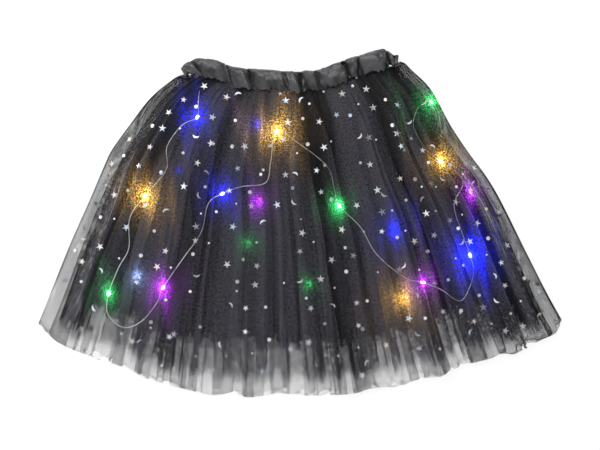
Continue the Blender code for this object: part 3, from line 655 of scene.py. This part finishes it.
def lay_cloth(
    name, finish, slot, cut_wide, hem, inset, columns, rows, folds, gathers, glow, seed,
    lift=0.0, thins=0.0, flounce=0.0, uneven_fullness=1.0, pocket=False,
):
    """One gathered panel. It starts as the flat cut and is laid in folds on its CAD solid.

    folds has a row for each fold: across, height in mm, where it starts, and its lean, which is
    how far the cloth doubles back beside it. gathers is (count, lean, height in mm, reach down).
    glow is how strongly the front's and the back's lamps' painted light lies on it, as a glow, and
    how wide. lift is how far folds stand out from the solid's middle, thins how long its hem's fading
    is, flounce how much fuller it grows below, and uneven_fullness the power of its FULLNESS.
    """
    mesh, across, cut_down = flat_grid(name, columns, rows)
    down = cut_down * hem
    fold_angle, opened, fold_shift, fold_rise = lay_folds(across, down, folds, seed)
    gather_angle, gathered, gather_shift, gather_rise = lay_gathers(across, down, gathers, seed)
    laid = across + fold_shift * np.sin(fold_angle) + gather_shift * np.sin(gather_angle)
    laid = inset + (1 - 2 * inset) * np.clip(laid, 0.0, 1.0)
    waves = drift(across * 6, down, seed + 3) + np.sin(fold_angle - 0.8)
    spots = place(laid, down * (1 + 0.010 * share(down, 0.7, 1.0) * waves))
    height = on_solid(solid_middle(name, inset, hem), (laid - inset) / (1 - 2 * inset), down / hem)
    rise = fold_rise * (np.sin(fold_angle) + lift) + gather_rise * (np.sin(gather_angle) + lift)
    # Painted shading: lighter on the crests of folds, gathers and broad rolls, darker in their hollows.
    ridge = 0.5 + FOLD_PAINTED_LIGHT * opened * np.sin(fold_angle)
    ridge = ridge + GATHER_PAINTED_LIGHT * gathered * np.sin(gather_angle)
    ridge += ROLL_PAINTED_LIGHT * painted_roll_light(across, down)
    if pocket:
        ring_rise, painted_ring_light = press_pocket(spots, seed + 6)
        rise = rise + ring_rise
        ridge = ridge + painted_ring_light

    grid = (rows + 1, columns + 1)
    in_rows = np.column_stack([spots, height + rise]).reshape(*grid, 3)
    amount = fullness(laid, down) ** uneven_fullness
    source, packed = spread_cloth(in_rows, amount.reshape(grid))
    in_rows = at_columns(in_rows, source)
    slope = np.gradient(laid.reshape(grid), axis=1) * columns
    laid = at_columns(laid.reshape(grid), source)
    down = down.reshape(grid)
    doubling = np.abs(fold_shift).reshape(grid) * share(down, 0.1, 0.3) / 0.01
    turning = at_columns(soft(np.clip(doubling, 0.0, 1.0)) * bell(slope, 1.4), source)
    packed = np.minimum(packed * cut_wide, FULLEST) * (1 + FOLD_EDGE * turning)
    edge = np.minimum(laid, 1 - laid) * 0.4
    turned = bell(edge, SIDE_TURN_WIDE) * (1 + 0.8 * drift(laid, down * 4, seed + 5))
    packed *= 1 + SIDE_TURN * turned
    if thins:
        stepped = 0.006 * np.sin(at_columns(fold_angle.reshape(grid), source))
        stepped += 0.010 * drift(laid * 4, down, seed + 4) - 0.012
        hem_left = share(hem - down + stepped, 0.0, thins)
        packed *= 1 + flounce * soft(share(down, 0.6, 0.85))
        packed *= THINNEST + (1 - THINNEST) * soft(np.minimum(hem_left, share(edge, 0.0, 0.001)))
    else:
        packed[0] *= HEM_EDGE

    shape_grid(mesh, in_rows, np.column_stack([across * cut_wide, cut_down * (CUT_LONG * hem)]))
    # The lamps' painted light on this panel, which its net gives off as a glow.
    light = np.ones((len(across), 4), np.float32)
    light[:, :3] = lamp_glow(in_rows.reshape(-1, 3), *glow)
    mesh.color_attributes.new(name="glow", type="FLOAT_COLOR", domain="POINT")
    mesh.color_attributes["glow"].data.foreach_set("color", light.ravel())
    keep_values(mesh, "packed", packed)
    keep_values(mesh, "ridge", at_columns(ridge.reshape(grid), source))
    mesh.shade_smooth()
    mesh.update()
    mesh.materials.append(finish)
    return add_piece(f"{name}_cloth", mesh, slot, name), in_rows


def even_folds(count, height, start, lean, seed):
    """Folds of a hidden panel, uneven in place, height, length and lean."""
    dice = np.random.default_rng(seed)
    rows = []
    for i in range(count):
        crest = (i + 0.5 + dice.uniform(-0.25, 0.25)) / count
        side = 1 if dice.uniform() > 0.4 else -1
        strong = 2.4 if dice.uniform() > 0.7 else 0.7
        high = height * dice.uniform(0.5, 1.2)
        long = start * dice.uniform(0.2, 1.6)
        rows.append((crest, high, long, side * lean * strong * dice.uniform(0.7, 1.3)))
    return rows


def net_group():
    """Gathered net, from its flat cut's metres: which places are thread, the threads' colour with
    their grain and the painted shading of their creases, and the lamps' painted light on them, with painted
    glints."""
    group = bpy.data.node_groups.new("gathered_net", "ShaderNodeTree")
    for name, kind in (
        ("Cut", "Vector"), ("Place", "Vector"), ("Packed", "Float"), ("Painted Shading", "Float"), ("Light", "Color"),
        ("Thin Thread", "Float"), ("Thick Thread", "Float"), ("Colour", "Color"), ("Painted Glint Strength", "Float"),
    ):
        group.interface.new_socket(name, in_out="INPUT", socket_type=f"NodeSocket{kind}")
    for name, kind in (("Mask", "Float"), ("Thread Colour", "Color"), ("Glow", "Color")):
        group.interface.new_socket(name, in_out="OUTPUT", socket_type=f"NodeSocket{kind}")
    given = group.nodes.new("NodeGroupInput").outputs

    def number(operation, *inputs):
        node = add_node(group, "ShaderNodeMath", dict(enumerate(inputs)), operation=operation)
        return node.outputs["Value"]

    def vector(operation, *inputs, output="Vector", **named):
        sockets = {**dict(enumerate(inputs)), **named}
        return add_node(group, "ShaderNodeVectorMath", sockets, operation=operation).outputs[output]

    def noise(place, **inputs):
        return add_node(group, "ShaderNodeTexNoise", {"Vector": place, **inputs}).outputs["Fac"]

    def ranged(value, *ends):
        sockets = dict(zip(("From Min", "From Max", "To Min", "To Max"), ends))
        return add_node(group, "ShaderNodeMapRange", {"Value": value, **sockets}).outputs["Result"]

    uneven = noise(given["Cut"], Scale=1500.0, Detail=2.0)
    thread_here = ranged(uneven, 0.3, 0.7, given["Thin Thread"], given["Thick Thread"])
    thread = number("MULTIPLY", given["Packed"], thread_here)
    cell = (1.0, math.sqrt(3), 1.0)
    half_cell = (0.5, math.sqrt(3) / 2, 0.0)
    spot = vector("SCALE", given["Cut"], Scale=1 / NET_PITCH)
    nearest = []
    for start in ((4.0, 4 * cell[1], 0.0), (4.5, 4.5 * cell[1], 0.0)):
        folded = vector("MODULO", vector("ADD", spot, start), cell)
        centred_spot = vector("SUBTRACT", folded, half_cell)
        nearest.append((centred_spot, vector("LENGTH", centred_spot, output="Value")))
    second_closer = number("LESS_THAN", nearest[1][1], nearest[0][1])
    picks = {0: second_closer, 4: nearest[0][0], 5: nearest[1][0]}
    pick = add_node(group, "ShaderNodeMix", picks, data_type="VECTOR")
    corner = vector("ABSOLUTE", pick.outputs[1])
    flat_way = vector("DOT_PRODUCT", corner, (1.0, 0.0, 0.0), output="Value")
    slant_way = vector("DOT_PRODUCT", corner, (0.5, math.sqrt(3) / 2, 0.0), output="Value")
    edge = number("SUBTRACT", 0.5, number("MULTIPLY", thread, 0.5))
    mask = number("GREATER_THAN", number("MAXIMUM", flat_way, slant_way), edge)

    grain = ranged(noise(given["Cut"], Scale=520.0, Detail=4.0, Roughness=0.7), 0.38, 0.62, 0.2, 0.8)
    # The threads' colour: their grain, times the painted shading of folds, gathers and rolls.
    tone = ranged(number("MULTIPLY", given["Painted Shading"], grain), 0.16, 0.36, 0.1, 3.4)
    # Painted glints: spots of noise that brighten the lamps' painted light.
    painted_glints = ranged(noise(given["Place"], Scale=850.0, Detail=1.0), 0.47, 0.68, 0.25, given["Painted Glint Strength"])
    shown = {
        "Mask": mask,
        "Thread Colour": vector("SCALE", given["Colour"], Scale=tone),
        "Glow": vector("SCALE", given["Light"], Scale=painted_glints),
    }
    add_node(group, "NodeGroupOutput", shown)
    return group


def net_finish(name, thread, uneven_share, colour, painted_glint_strength):
    """Charcoal nylon net, see-through between its threads, with painted shading in its folds and painted
    lamp light that it gives off where lamps lie under it.
    """
    made, tree, shader = new_finish(name, colour, roughness=0.6)
    shader.inputs["Specular IOR Level"].default_value = 0.2
    shader.inputs["Emission Strength"].default_value = 1.0
    cut_map = add_node(tree, "ShaderNodeUVMap", {}, uv_map="cut")
    packed = add_node(tree, "ShaderNodeAttribute", {}, attribute_name="packed")
    # The panel's painted shading, read from its points.
    ridge = add_node(tree, "ShaderNodeAttribute", {}, attribute_name="ridge")
    light = add_node(tree, "ShaderNodeVertexColor", {}, layer_name="glow")
    given = {
        "Cut": cut_map.outputs["UV"],
        "Place": object_place(tree),
        "Packed": packed.outputs["Fac"],
        "Painted Shading": ridge.outputs["Fac"],
        "Light": light.outputs["Color"],
        "Thin Thread": (1 - uneven_share) * thread,
        "Thick Thread": (1 + uneven_share) * thread,
        "Colour": (*colour, 1.0),
        "Painted Glint Strength": painted_glint_strength,
    }
    net = add_node(tree, "ShaderNodeGroup", given, node_tree=gathered_net)
    tree.links.new(net.outputs["Mask"], shader.inputs["Alpha"])
    tree.links.new(net.outputs["Thread Colour"], shader.inputs["Base Color"])
    # The lamps' painted light, which the threads give off.
    tree.links.new(net.outputs["Glow"], shader.inputs["Emission Color"])
    return made


gathered_net = net_group()
lining_net = net_finish(
    "lining_net", thread=0.95, uneven_share=0.15, colour=(0.015, 0.014, 0.019), painted_glint_strength=2.0
)
for half, seed in (("back", 11), ("front", 12)):
    lining, _ = lay_cloth(
        f"lining_{half}",
        lining_net,
        "lining",
        LINING_CUT_WIDE,
        hem=LINING_HEM,
        inset=LINING_SIDE,
        columns=220,
        rows=80,
        folds=even_folds(count=13, height=0.4, start=0.3, lean=1.3, seed=seed),
        gathers=(44, 2.3, 0.3, 0.35),
        glow=(0.0, 0.1, 1.0) if half == "back" else (0.05, 0.10, 1.2),
        seed=seed,
        thins=0.045,
        uneven_fullness=0.0,
    )


# Under tulle: two half rounds of plain charcoal net, a little shorter and narrower than the
# printed net over them. The lamp string lies on the front one.
NET_CUT_WIDE = 0.64
UNDER_SIDE = 0.035
UNDER_HEM = 0.975

plain_net = net_finish(
    "plain_net", thread=0.13, uneven_share=0.28, colour=(0.022, 0.021, 0.026), painted_glint_strength=5.0
)
for half, seed in (("back", 21), ("front", 22)):
    under, _ = lay_cloth(
        f"under_tulle_{half}",
        plain_net,
        "plain_tulle",
        NET_CUT_WIDE,
        hem=UNDER_HEM,
        inset=UNDER_SIDE,
        columns=480 if half == "front" else 400,
        rows=90,
        folds=even_folds(count=22, height=0.55, start=0.25, lean=2.0, seed=seed),
        gathers=(38, 3.2, 0.4, 0.6),
        glow=(0.0, 0.3, 1.0) if half == "back" else (0.9, 0.35, 1.0),
        seed=seed,
        thins=0.035,
        flounce=1.3,
    )


# Printed tulle: two half rounds of the same net as the outer layer, with foil marks on their
# outer side. The front one stands in 28 loose folds, gathered finely at the waist: across, height
# in mm, where it starts, and its lean.
FRONT_FOLDS = (
    (0.060, 0.8, 0.35, 0.9),
    (0.092, 1.2, 0.15, -2.9),
    (0.124, 1.0, 0.50, 0.7),
    (0.153, 1.2, 0.20, 2.6),
    (0.189, 1.8, 0.06, 5.6),
    (0.229, 1.2, 0.30, -0.9),
    (0.265, 1.6, 0.06, 4.8),
    (0.293, 1.3, 0.20, 3.4),
    (0.325, 1.1, 0.55, -1.6),
    (0.360, 1.3, 0.10, 2.4),
    (0.400, 2.0, 0.06, 6.4),
    (0.437, 1.0, 0.55, -0.6),
    (0.466, 1.4, 0.30, 2.8),
    (0.498, 1.0, 0.35, 0.7),
    (0.532, 1.8, 0.06, -5.0),
    (0.565, 1.3, 0.25, 1.8),
    (0.600, 2.2, 0.06, 6.8),
    (0.634, 1.0, 0.30, 0.5),
    (0.668, 0.9, 0.45, -0.6),
    (0.700, 1.1, 0.45, 0.8),
    (0.727, 2.0, 0.06, 6.6),
    (0.752, 1.6, 0.10, 3.2),
    (0.785, 1.2, 0.35, -0.8),
    (0.818, 1.9, 0.06, 5.4),
    (0.850, 1.1, 0.45, 0.9),
    (0.882, 1.8, 0.08, -4.6),
    (0.910, 1.3, 0.20, 2.2),
    (0.940, 1.0, 0.40, 1.4),
)
printed_net = net_finish(
    "printed_net", thread=0.155, uneven_share=0.28, colour=(0.023, 0.022, 0.027), painted_glint_strength=7.0
)
outer_back, back_points = lay_cloth(
    "outer_tulle_back",
    printed_net,
    "printed_tulle",
    NET_CUT_WIDE,
    hem=1.0,
    inset=0.0,
    columns=440,
    rows=64,
    folds=even_folds(count=24, height=0.4, start=0.25, lean=2.0, seed=31),
    gathers=(40, 3.4, 0.3, 0.6),
    glow=(0.0, 0.3, 1.0),
    lift=0.4,
    seed=31,
)
outer_front, front_points = lay_cloth(
    "outer_tulle_front",
    printed_net,
    "printed_tulle",
    NET_CUT_WIDE,
    hem=1.0,
    inset=0.0,
    columns=640,
    rows=76,
    folds=FRONT_FOLDS,
    gathers=(42, 3.0, 0.7, 0.55),
    glow=(1.6, 0.55, 1.0),
    lift=0.6,
    seed=32,
    pocket=True,
)


# Foil marks: silver holographic foil pressed on the printed tulle, five-pointed stars, crescent
# moons and round dots, scattered in a small repeat.
REPEAT = 0.125
UNEVEN_PLACE = 0.04
UNEVEN_TURN = 25
SIDE_CLEAR = 0.012
WAIST_CLEAR = 0.075
HEM_CLEAR = 0.985
MARK_LIFT = 0.0003
MARK_FLATNESS = 1.5
STAR_RADIUS = 0.0039
STAR_INNER = 0.36
MOON_RADIUS = 0.0033
MOON_HOLLOW = 0.45
DOT_RADIUS = 0.0016
SMALL_DOT_RADIUS = 0.0010

# A mark that lies in the depth of a gather, where the cloth covers less than this share of its own
# width, is turned out of sight
LEAST_SHOWN = 0.42

# One repeat of the print: kind, across and down in shares of it, turn in degrees, size
PRINT_REPEAT = (
    ("star", 0.08, 0.12, 10, 1.0),
    ("dot", 0.22, 0.05, 0, 1.0),
    ("moon", 0.34, 0.15, 200, 1.0),
    ("star", 0.52, 0.08, 40, 0.8),
    ("small_dot", 0.64, 0.17, 0, 1.0),
    ("dot", 0.78, 0.10, 0, 1.2),
    ("star", 0.92, 0.20, 25, 0.9),
    ("small_dot", 0.14, 0.27, 0, 1.0),
    ("star", 0.27, 0.33, 55, 1.0),
    ("dot", 0.43, 0.28, 0, 0.9),
    ("star", 0.60, 0.35, 15, 1.0),
    ("moon", 0.77, 0.32, 120, 1.0),
    ("small_dot", 0.90, 0.40, 0, 1.2),
    ("star", 0.07, 0.46, 30, 0.8),
    ("dot", 0.21, 0.52, 0, 1.1),
    ("small_dot", 0.35, 0.47, 0, 1.0),
    ("star", 0.47, 0.55, 5, 1.0),
    ("dot", 0.68, 0.52, 0, 1.0),
    ("star", 0.84, 0.57, 60, 0.9),
    ("moon", 0.11, 0.68, 300, 1.0),
    ("star", 0.32, 0.70, 20, 1.0),
    ("small_dot", 0.45, 0.76, 0, 1.0),
    ("dot", 0.57, 0.69, 0, 1.2),
    ("star", 0.73, 0.75, 45, 1.0),
    ("small_dot", 0.93, 0.71, 0, 1.0),
    ("dot", 0.05, 0.86, 0, 0.9),
    ("star", 0.19, 0.90, 35, 0.9),
    ("moon", 0.40, 0.92, 30, 0.9),
    ("star", 0.60, 0.88, 50, 0.8),
    ("dot", 0.84, 0.91, 0, 1.0),
)


def add_mark(shape, kind, spot, size):
    """One foil mark, cut from a flat round of a few points."""
    if kind == "star":
        made = bmesh.ops.create_circle(shape, cap_ends=True, segments=10, radius=STAR_RADIUS * size)
        for number, vert in enumerate(made["verts"]):
            vert.co *= STAR_INNER if number % 2 else 1.0
    elif kind == "moon":
        made = bmesh.ops.create_circle(shape, cap_ends=True, segments=16, radius=MOON_RADIUS * size)
        for vert in made["verts"]:
            vert.co.x *= -MOON_HOLLOW if vert.co.x > 0 else 1.0
    else:
        radius = DOT_RADIUS if kind == "dot" else SMALL_DOT_RADIUS
        made = bmesh.ops.create_circle(shape, cap_ends=True, segments=9, radius=radius * size)
    bmesh.ops.transform(shape, matrix=spot, verts=made["verts"])
    return made["verts"][0].link_faces[0]


def print_marks(name, points, outward, seed):
    """The print of one panel, each mark flat on the cloth under it."""
    rows, columns = points.shape[0] - 1, points.shape[1] - 1
    reach = 4
    least_wide = LEAST_SHOWN * 2 * reach * NET_CUT_WIDE / columns
    across_cells = round(NET_CUT_WIDE / REPEAT)
    dice = np.random.default_rng(seed)
    shape = bmesh.new()
    painted_reflection_tints = shape.loops.layers.float_color.new("foil")
    cells = np.ndindex(math.ceil(CUT_LONG / REPEAT), across_cells)
    marks = ((*cell, *mark) for cell in cells for mark in PRINT_REPEAT)
    for cell_row, cell, kind, in_x, in_y, turn, size in marks:
        u = (cell + in_x + UNEVEN_PLACE * dice.uniform(-1, 1)) / across_cells
        v = (cell_row + in_y + UNEVEN_PLACE * dice.uniform(-1, 1)) * REPEAT / CUT_LONG
        if not (SIDE_CLEAR < u < 1 - SIDE_CLEAR and WAIST_CLEAR < v < HEM_CLEAR):
            continue
        r, c = round((1 - v) * rows), round(u * columns)
        beside = points[r, min(c + reach, columns)] - points[r, max(c - reach, 0)]
        below = points[max(r - 1, 0), c] - points[min(r + 1, rows), c]
        if np.linalg.norm(beside) < least_wide:
            continue
        face = Vector(np.cross(beside, below)).normalized()
        if face.z * outward < 0:
            face = -face
        face = (face + Vector((0, 0, MARK_FLATNESS * outward))).normalized()
        way = Vector(below).normalized()
        side = way.cross(face).normalized()
        turned = Matrix((side, face.cross(side), face)).transposed().to_4x4()
        spin = Matrix.Rotation(math.radians(turn + UNEVEN_TURN * dice.uniform(-1, 1)), 4, "Z")
        middle = Matrix.Translation(Vector(points[r, c]) + MARK_LIFT * face)
        mark = add_mark(shape, kind, middle @ turned @ spin, size)
        # Each mark's own random tone, with a faint hue; its brightness partly stands in for the lamp's
        # reflection in the tilted mark, as painted reflection.
        painted_reflection_tint = dice.uniform(0.45, 1.0)
        hue = dice.uniform(-1, 1)
        for corner in mark.loops:
            corner[painted_reflection_tints] = (painted_reflection_tint * (1 + 0.10 * hue), painted_reflection_tint, painted_reflection_tint * (1 - 0.12 * hue), 1.0)
    bmesh.ops.triangulate(shape, faces=shape.faces[:])
    mesh = as_mesh(name, shape)
    mesh.materials.append(foil)
    return add_piece(name, mesh, "printed_tulle")


def foil_finish():
    """Silver foil with a faint rainbow, each mark in its own random tone and hue, whose brightness is
    partly painted reflection of the lamp on marks at different tilts.
    """
    made, tree, shader = new_finish("silver_foil", (0.8, 0.8, 0.82), roughness=0.42, metallic=0.45)
    painted_reflection_tint = add_node(tree, "ShaderNodeVertexColor", {}, layer_name="foil")
    patches = {"Scale": 260.0, "Vector": object_place(tree)}
    rainbow = add_node(tree, "ShaderNodeTexNoise", patches)
    hues = add_node(tree, "ShaderNodeValToRGB", {"Fac": rainbow.outputs["Fac"]})
    blue, pink = hues.color_ramp.elements
    blue.position, blue.color = 0.35, (0.55, 0.70, 0.95, 1.0)
    pink.position, pink.color = 0.65, (0.98, 0.80, 0.90, 1.0)
    hues.color_ramp.elements.new(0.5).color = (0.92, 0.96, 0.90, 1.0)
    both = {0: 1.0, 6: painted_reflection_tint.outputs["Color"], 7: hues.outputs["Color"]}
    blend = add_node(tree, "ShaderNodeMix", both, data_type="RGBA", blend_type="MULTIPLY")
    tree.links.new(blend.outputs[2], shader.inputs["Base Color"])
    return made


foil = foil_finish()
front_marks = print_marks("foil_marks_front", front_points, 1, 41)
back_marks = print_marks("foil_marks_back", back_points, -1, 42)


# Waistband: a strip of black satin folded over the tops of the layers and stitched, with elastic
# inside that shirrs it into puffs between uneven tucks.
BAND_CUT = (0.50, 0.040)
BAND_HALF = 7.7
OUTER_FLAP = 7.3
PINCHED_FLAP = 3.4
INNER_FLAP = 0.9
BAND_COLUMNS = 900
LOWEST = 0.3

# Profile of the folded strip, from the front's foot over the top to the inner foot: share of the
# band's height below the top and mm more, share of the outer flap's distance from the middle and mm
# more, and how far the puffs push it out and up
BAND_PROFILE = (
    (1.00, 0.0, 1.00, 0.0, 0.3, 0.00),
    (0.68, 0.0, 1.00, 0.0, 1.0, 0.00),
    (0.34, 0.0, 1.00, 0.0, 1.0, 0.00),
    (0.10, 0.0, 1.00, -0.3, 0.3, 0.45),
    (0.00, 0.0, 0.65, 0.0, 0.0, 0.45),
    (0.00, 0.0, 0.25, 0.3, 0.0, 0.45),
    (0.00, 1.4, 0.00, INNER_FLAP, 0.0, 0.00),
    (1.00, -1.2, 0.00, INNER_FLAP, 0.0, 0.00),
)

# Tucks between the band's puffs: (share along the band, height of the puff after it)
BAND_TUCKS = (
    (0.0, 0.8),
    (0.075, 2.2),
    (0.235, 1.4),
    (0.330, 2.0),
    (0.490, 1.2),
    (0.555, 1.4),
    (0.630, 2.3),
    (0.765, 1.4),
    (0.825, 2.4),
    (0.965, 0.8),
)
BACK_TUCKS = (
    (0.0, 0.2), (0.1, 0.6), (0.22, 0.4), (0.37, 0.6), (0.5, 0.5), (0.64, 0.6), (0.8, 0.4), (0.93, 0.5)
)


def puffs(part, tucks):
    """How far in mm the band stands out at each place, and how far away the next tuck is."""
    stops = np.array([row[0] for row in tucks] + [1.0])
    number = np.clip(np.searchsorted(stops, part, side="right") - 1, 0, len(tucks) - 1)
    start, end = stops[number], stops[number + 1]
    inside = (part - start) / (end - start)
    swell = np.sin(np.pi * np.clip(inside, 0, 1)) ** 0.7
    heights = np.array([row[1] for row in tucks])[number]
    return heights * swell, np.minimum(part - start, end - part) * band_top[1][-1]


def lay_band():
    """The folded strip as one loop: the front, the right end, the back and the left end."""
    weights, _ = smooth_line(np.eye(len(BAND_PROFILE)), steps=5)
    rows = len(weights) - 1
    mesh, around, over = flat_grid("waistband_satin", BAND_COLUMNS, rows)
    front, end = band_top[1][-1], math.pi * BAND_HALF
    whole = 2 * (front + end)
    stations = np.linspace(0, 1, BAND_COLUMNS + 1) * whole
    stops = [0, front, front + end, 2 * front + end, whole]
    part = np.interp(stations, stops, [0, 1, 1, 0, 0])
    turned = np.interp(stations, stops, [0, 0, math.pi, math.pi, 2 * math.pi])
    on_front = np.cos(turned) > 0.999
    on_back = np.cos(turned) < -0.999
    row_share = np.linspace(0, 1, rows + 1)[:, None]
    slant = (row_share - 0.25) * (0.06 * drift(part * 4, 0 * part, 53) + 0.02)
    leaning = np.clip(part + slant, 0.0, 1.0)
    front_puff, front_away = puffs(leaning, BAND_TUCKS)
    back_puff, back_away = puffs(leaning, BACK_TUCKS)
    puff = front_puff * on_front + 0.5 * back_puff * on_back
    away = np.where(on_front, front_away, back_away)
    tuck = bell(away, 1.5) * (on_front | on_back)
    crumpled = bell(away, 6.0) * (on_front | on_back)

    height = band_height(part)
    outside = OUTER_FLAP + (PINCHED_FLAP - OUTER_FLAP) * np.abs(np.sin(turned))
    profile = (weights @ np.array(BAND_PROFILE)).T[..., None]
    drop_share, drop_more, out_share, out_more, puffed_out, puffed_up = profile
    drop = drop_share * height + drop_more - puffed_up * puff
    out = out_share * outside + out_more + puffed_out * puff
    along = stations[None, :] * MM
    ruffle = 0.9 * drift(along * 9, row_share * 1.6, 51)
    ruffle = ruffle + 0.8 * crumpled * drift(along * 34, row_share * 2.5, 52)
    out = out + share(row_share, 0.62, 0.45) * (1.3 * ruffle - 2.8 * tuck)
    hang = 1.5 * drift(part * 5, 0 * part, 54)
    crown = share(row_share, 0.30, 0.45) * share(row_share, 0.70, 0.55)
    drop = drop + share(row_share, 0.10, 0.0) * (hang + 1.2 * ruffle - 2.0 * tuck)
    drop = drop - crown * (0.6 * ruffle - 1.3 * tuck)

    middle = below_band_top(part, 0.0)
    down = below_band_top(part, 1.0) - middle
    way = np.stack([-down[:, 1], down[:, 0]], axis=-1) * np.where(part > 0.5, 1, -1)[:, None]
    spots = middle + drop[..., None] * down + (out * np.sin(turned))[..., None] * way
    level = np.maximum(BAND_HALF + out * np.cos(turned), LOWEST)
    points = np.concatenate([spots, level[..., None]], axis=-1) * MM
    column = np.rint(around * BAND_COLUMNS).astype(int)
    row = np.rint(over * rows).astype(int)
    shape_grid(mesh, points[row, column], np.column_stack([around, over]) * BAND_CUT)
    # Painted shading of the band: darker in the tucks, lighter where the ruffles and puffs stand out.
    ridge = 0.5 + 0.30 * ruffle - 0.6 * tuck + 0.1 * puff * puffed_out
    keep_values(mesh, "ridge", ridge[row, column])
    shape = bmesh.new()
    shape.from_mesh(mesh)
    bmesh.ops.remove_doubles(shape, verts=shape.verts, dist=1e-6)
    shape.to_mesh(mesh)
    shape.free()
    mesh.shade_smooth()
    return mesh


def satin_finish():
    """Black satin: a soft sheen, fine crosswise threads, crumples with painted highlights on their facets,
    and painted shade in the tucks.
    """
    made, tree, shader = new_finish("black_satin", (0.019, 0.019, 0.021), roughness=0.3)
    shader.inputs["Sheen Weight"].default_value = 0.2
    shader.inputs["Sheen Roughness"].default_value = 0.4
    cut = add_node(tree, "ShaderNodeUVMap", {}, uv_map="cut").outputs["UV"]
    lines = {"Scale": 420.0, "Distortion": 1.0, "Vector": cut}
    threads = add_node(tree, "ShaderNodeTexWave", lines, bands_direction="X")
    creases = add_node(tree, "ShaderNodeTexNoise", {"Scale": 260.0, "Detail": 3.0, "Vector": cut})
    facets = add_node(tree, "ShaderNodeTexVoronoi", {"Scale": 105.0, "Vector": cut})
    crumples = {0: creases.outputs["Fac"], 1: 0.35, 2: facets.outputs["Distance"]}
    crumple_height_and_sheen = add_node(tree, "ShaderNodeMath", crumples, operation="MULTIPLY_ADD").outputs["Value"]
    relief = {0: threads.outputs["Fac"], 1: 0.06, 2: crumple_height_and_sheen}
    height = add_node(tree, "ShaderNodeMath", relief, operation="MULTIPLY_ADD")
    add_bump(tree, shader, height.outputs["Value"], strength=0.8, distance=0.0022)
    ridge = add_node(tree, "ShaderNodeAttribute", {}, attribute_name="ridge")
    # Base colour: the band's painted shading, times the crumples, which paint highlights along the facets'
    # edges.
    tone = add_node(tree, "ShaderNodeMath", {0: ridge.outputs["Fac"], 1: crumple_height_and_sheen}, operation="MULTIPLY")
    shades = {
        6: tone.outputs["Value"],
        7: (0.05, 0.05, 0.05),
        8: (0.60, 0.60, 0.60),
        9: (0.002, 0.002, 0.002),
        10: (0.055, 0.055, 0.060),
    }
    shade = add_node(tree, "ShaderNodeMapRange", shades, data_type="FLOAT_VECTOR")
    tree.links.new(shade.outputs[1], shader.inputs["Base Color"])
    glosses = {"Value": creases.outputs["Fac"], "To Min": 0.16, "To Max": 0.42}
    gloss = add_node(tree, "ShaderNodeMapRange", glosses)
    tree.links.new(gloss.outputs["Result"], shader.inputs["Roughness"])
    return made


band_mesh = lay_band()
band_mesh.materials.append(satin_finish())
waistband = add_piece("waistband_satin", band_mesh, "satin_band", "waistband")


# Battery case: a flat moulded box for two button cells in its pocket in the lining. It stays as
# its solid, in black plastic with a fine spark grain.
case_finish, case_tree, case_shader = new_finish("case_plastic", (0.012, 0.012, 0.013), roughness=0.42)
case_grain = {"Scale": 2500.0, "Vector": object_place(case_tree)}
sparks = add_node(case_tree, "ShaderNodeTexNoise", case_grain)
add_bump(case_tree, case_shader, sparks.outputs["Fac"], strength=0.3, distance=0.00005)
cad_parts["battery_case"].material_slots[0].material = case_finish


# Bloom: the camera's lens spreads a little light round the brightest parts of the lamps.
scene.use_nodes = True
lens = scene.node_tree
lens.nodes.clear()
seen = add_node(lens, "CompositorNodeRLayers", {})
haze = {"Threshold": 1.6, "Strength": 0.25, "Size": 0.35, "Image": seen.outputs["Image"]}
bloom = add_node(lens, "CompositorNodeGlare", haze, glare_type="BLOOM", quality="HIGH")
add_node(lens, "CompositorNodeComposite", {"Image": bloom.outputs["Image"]})
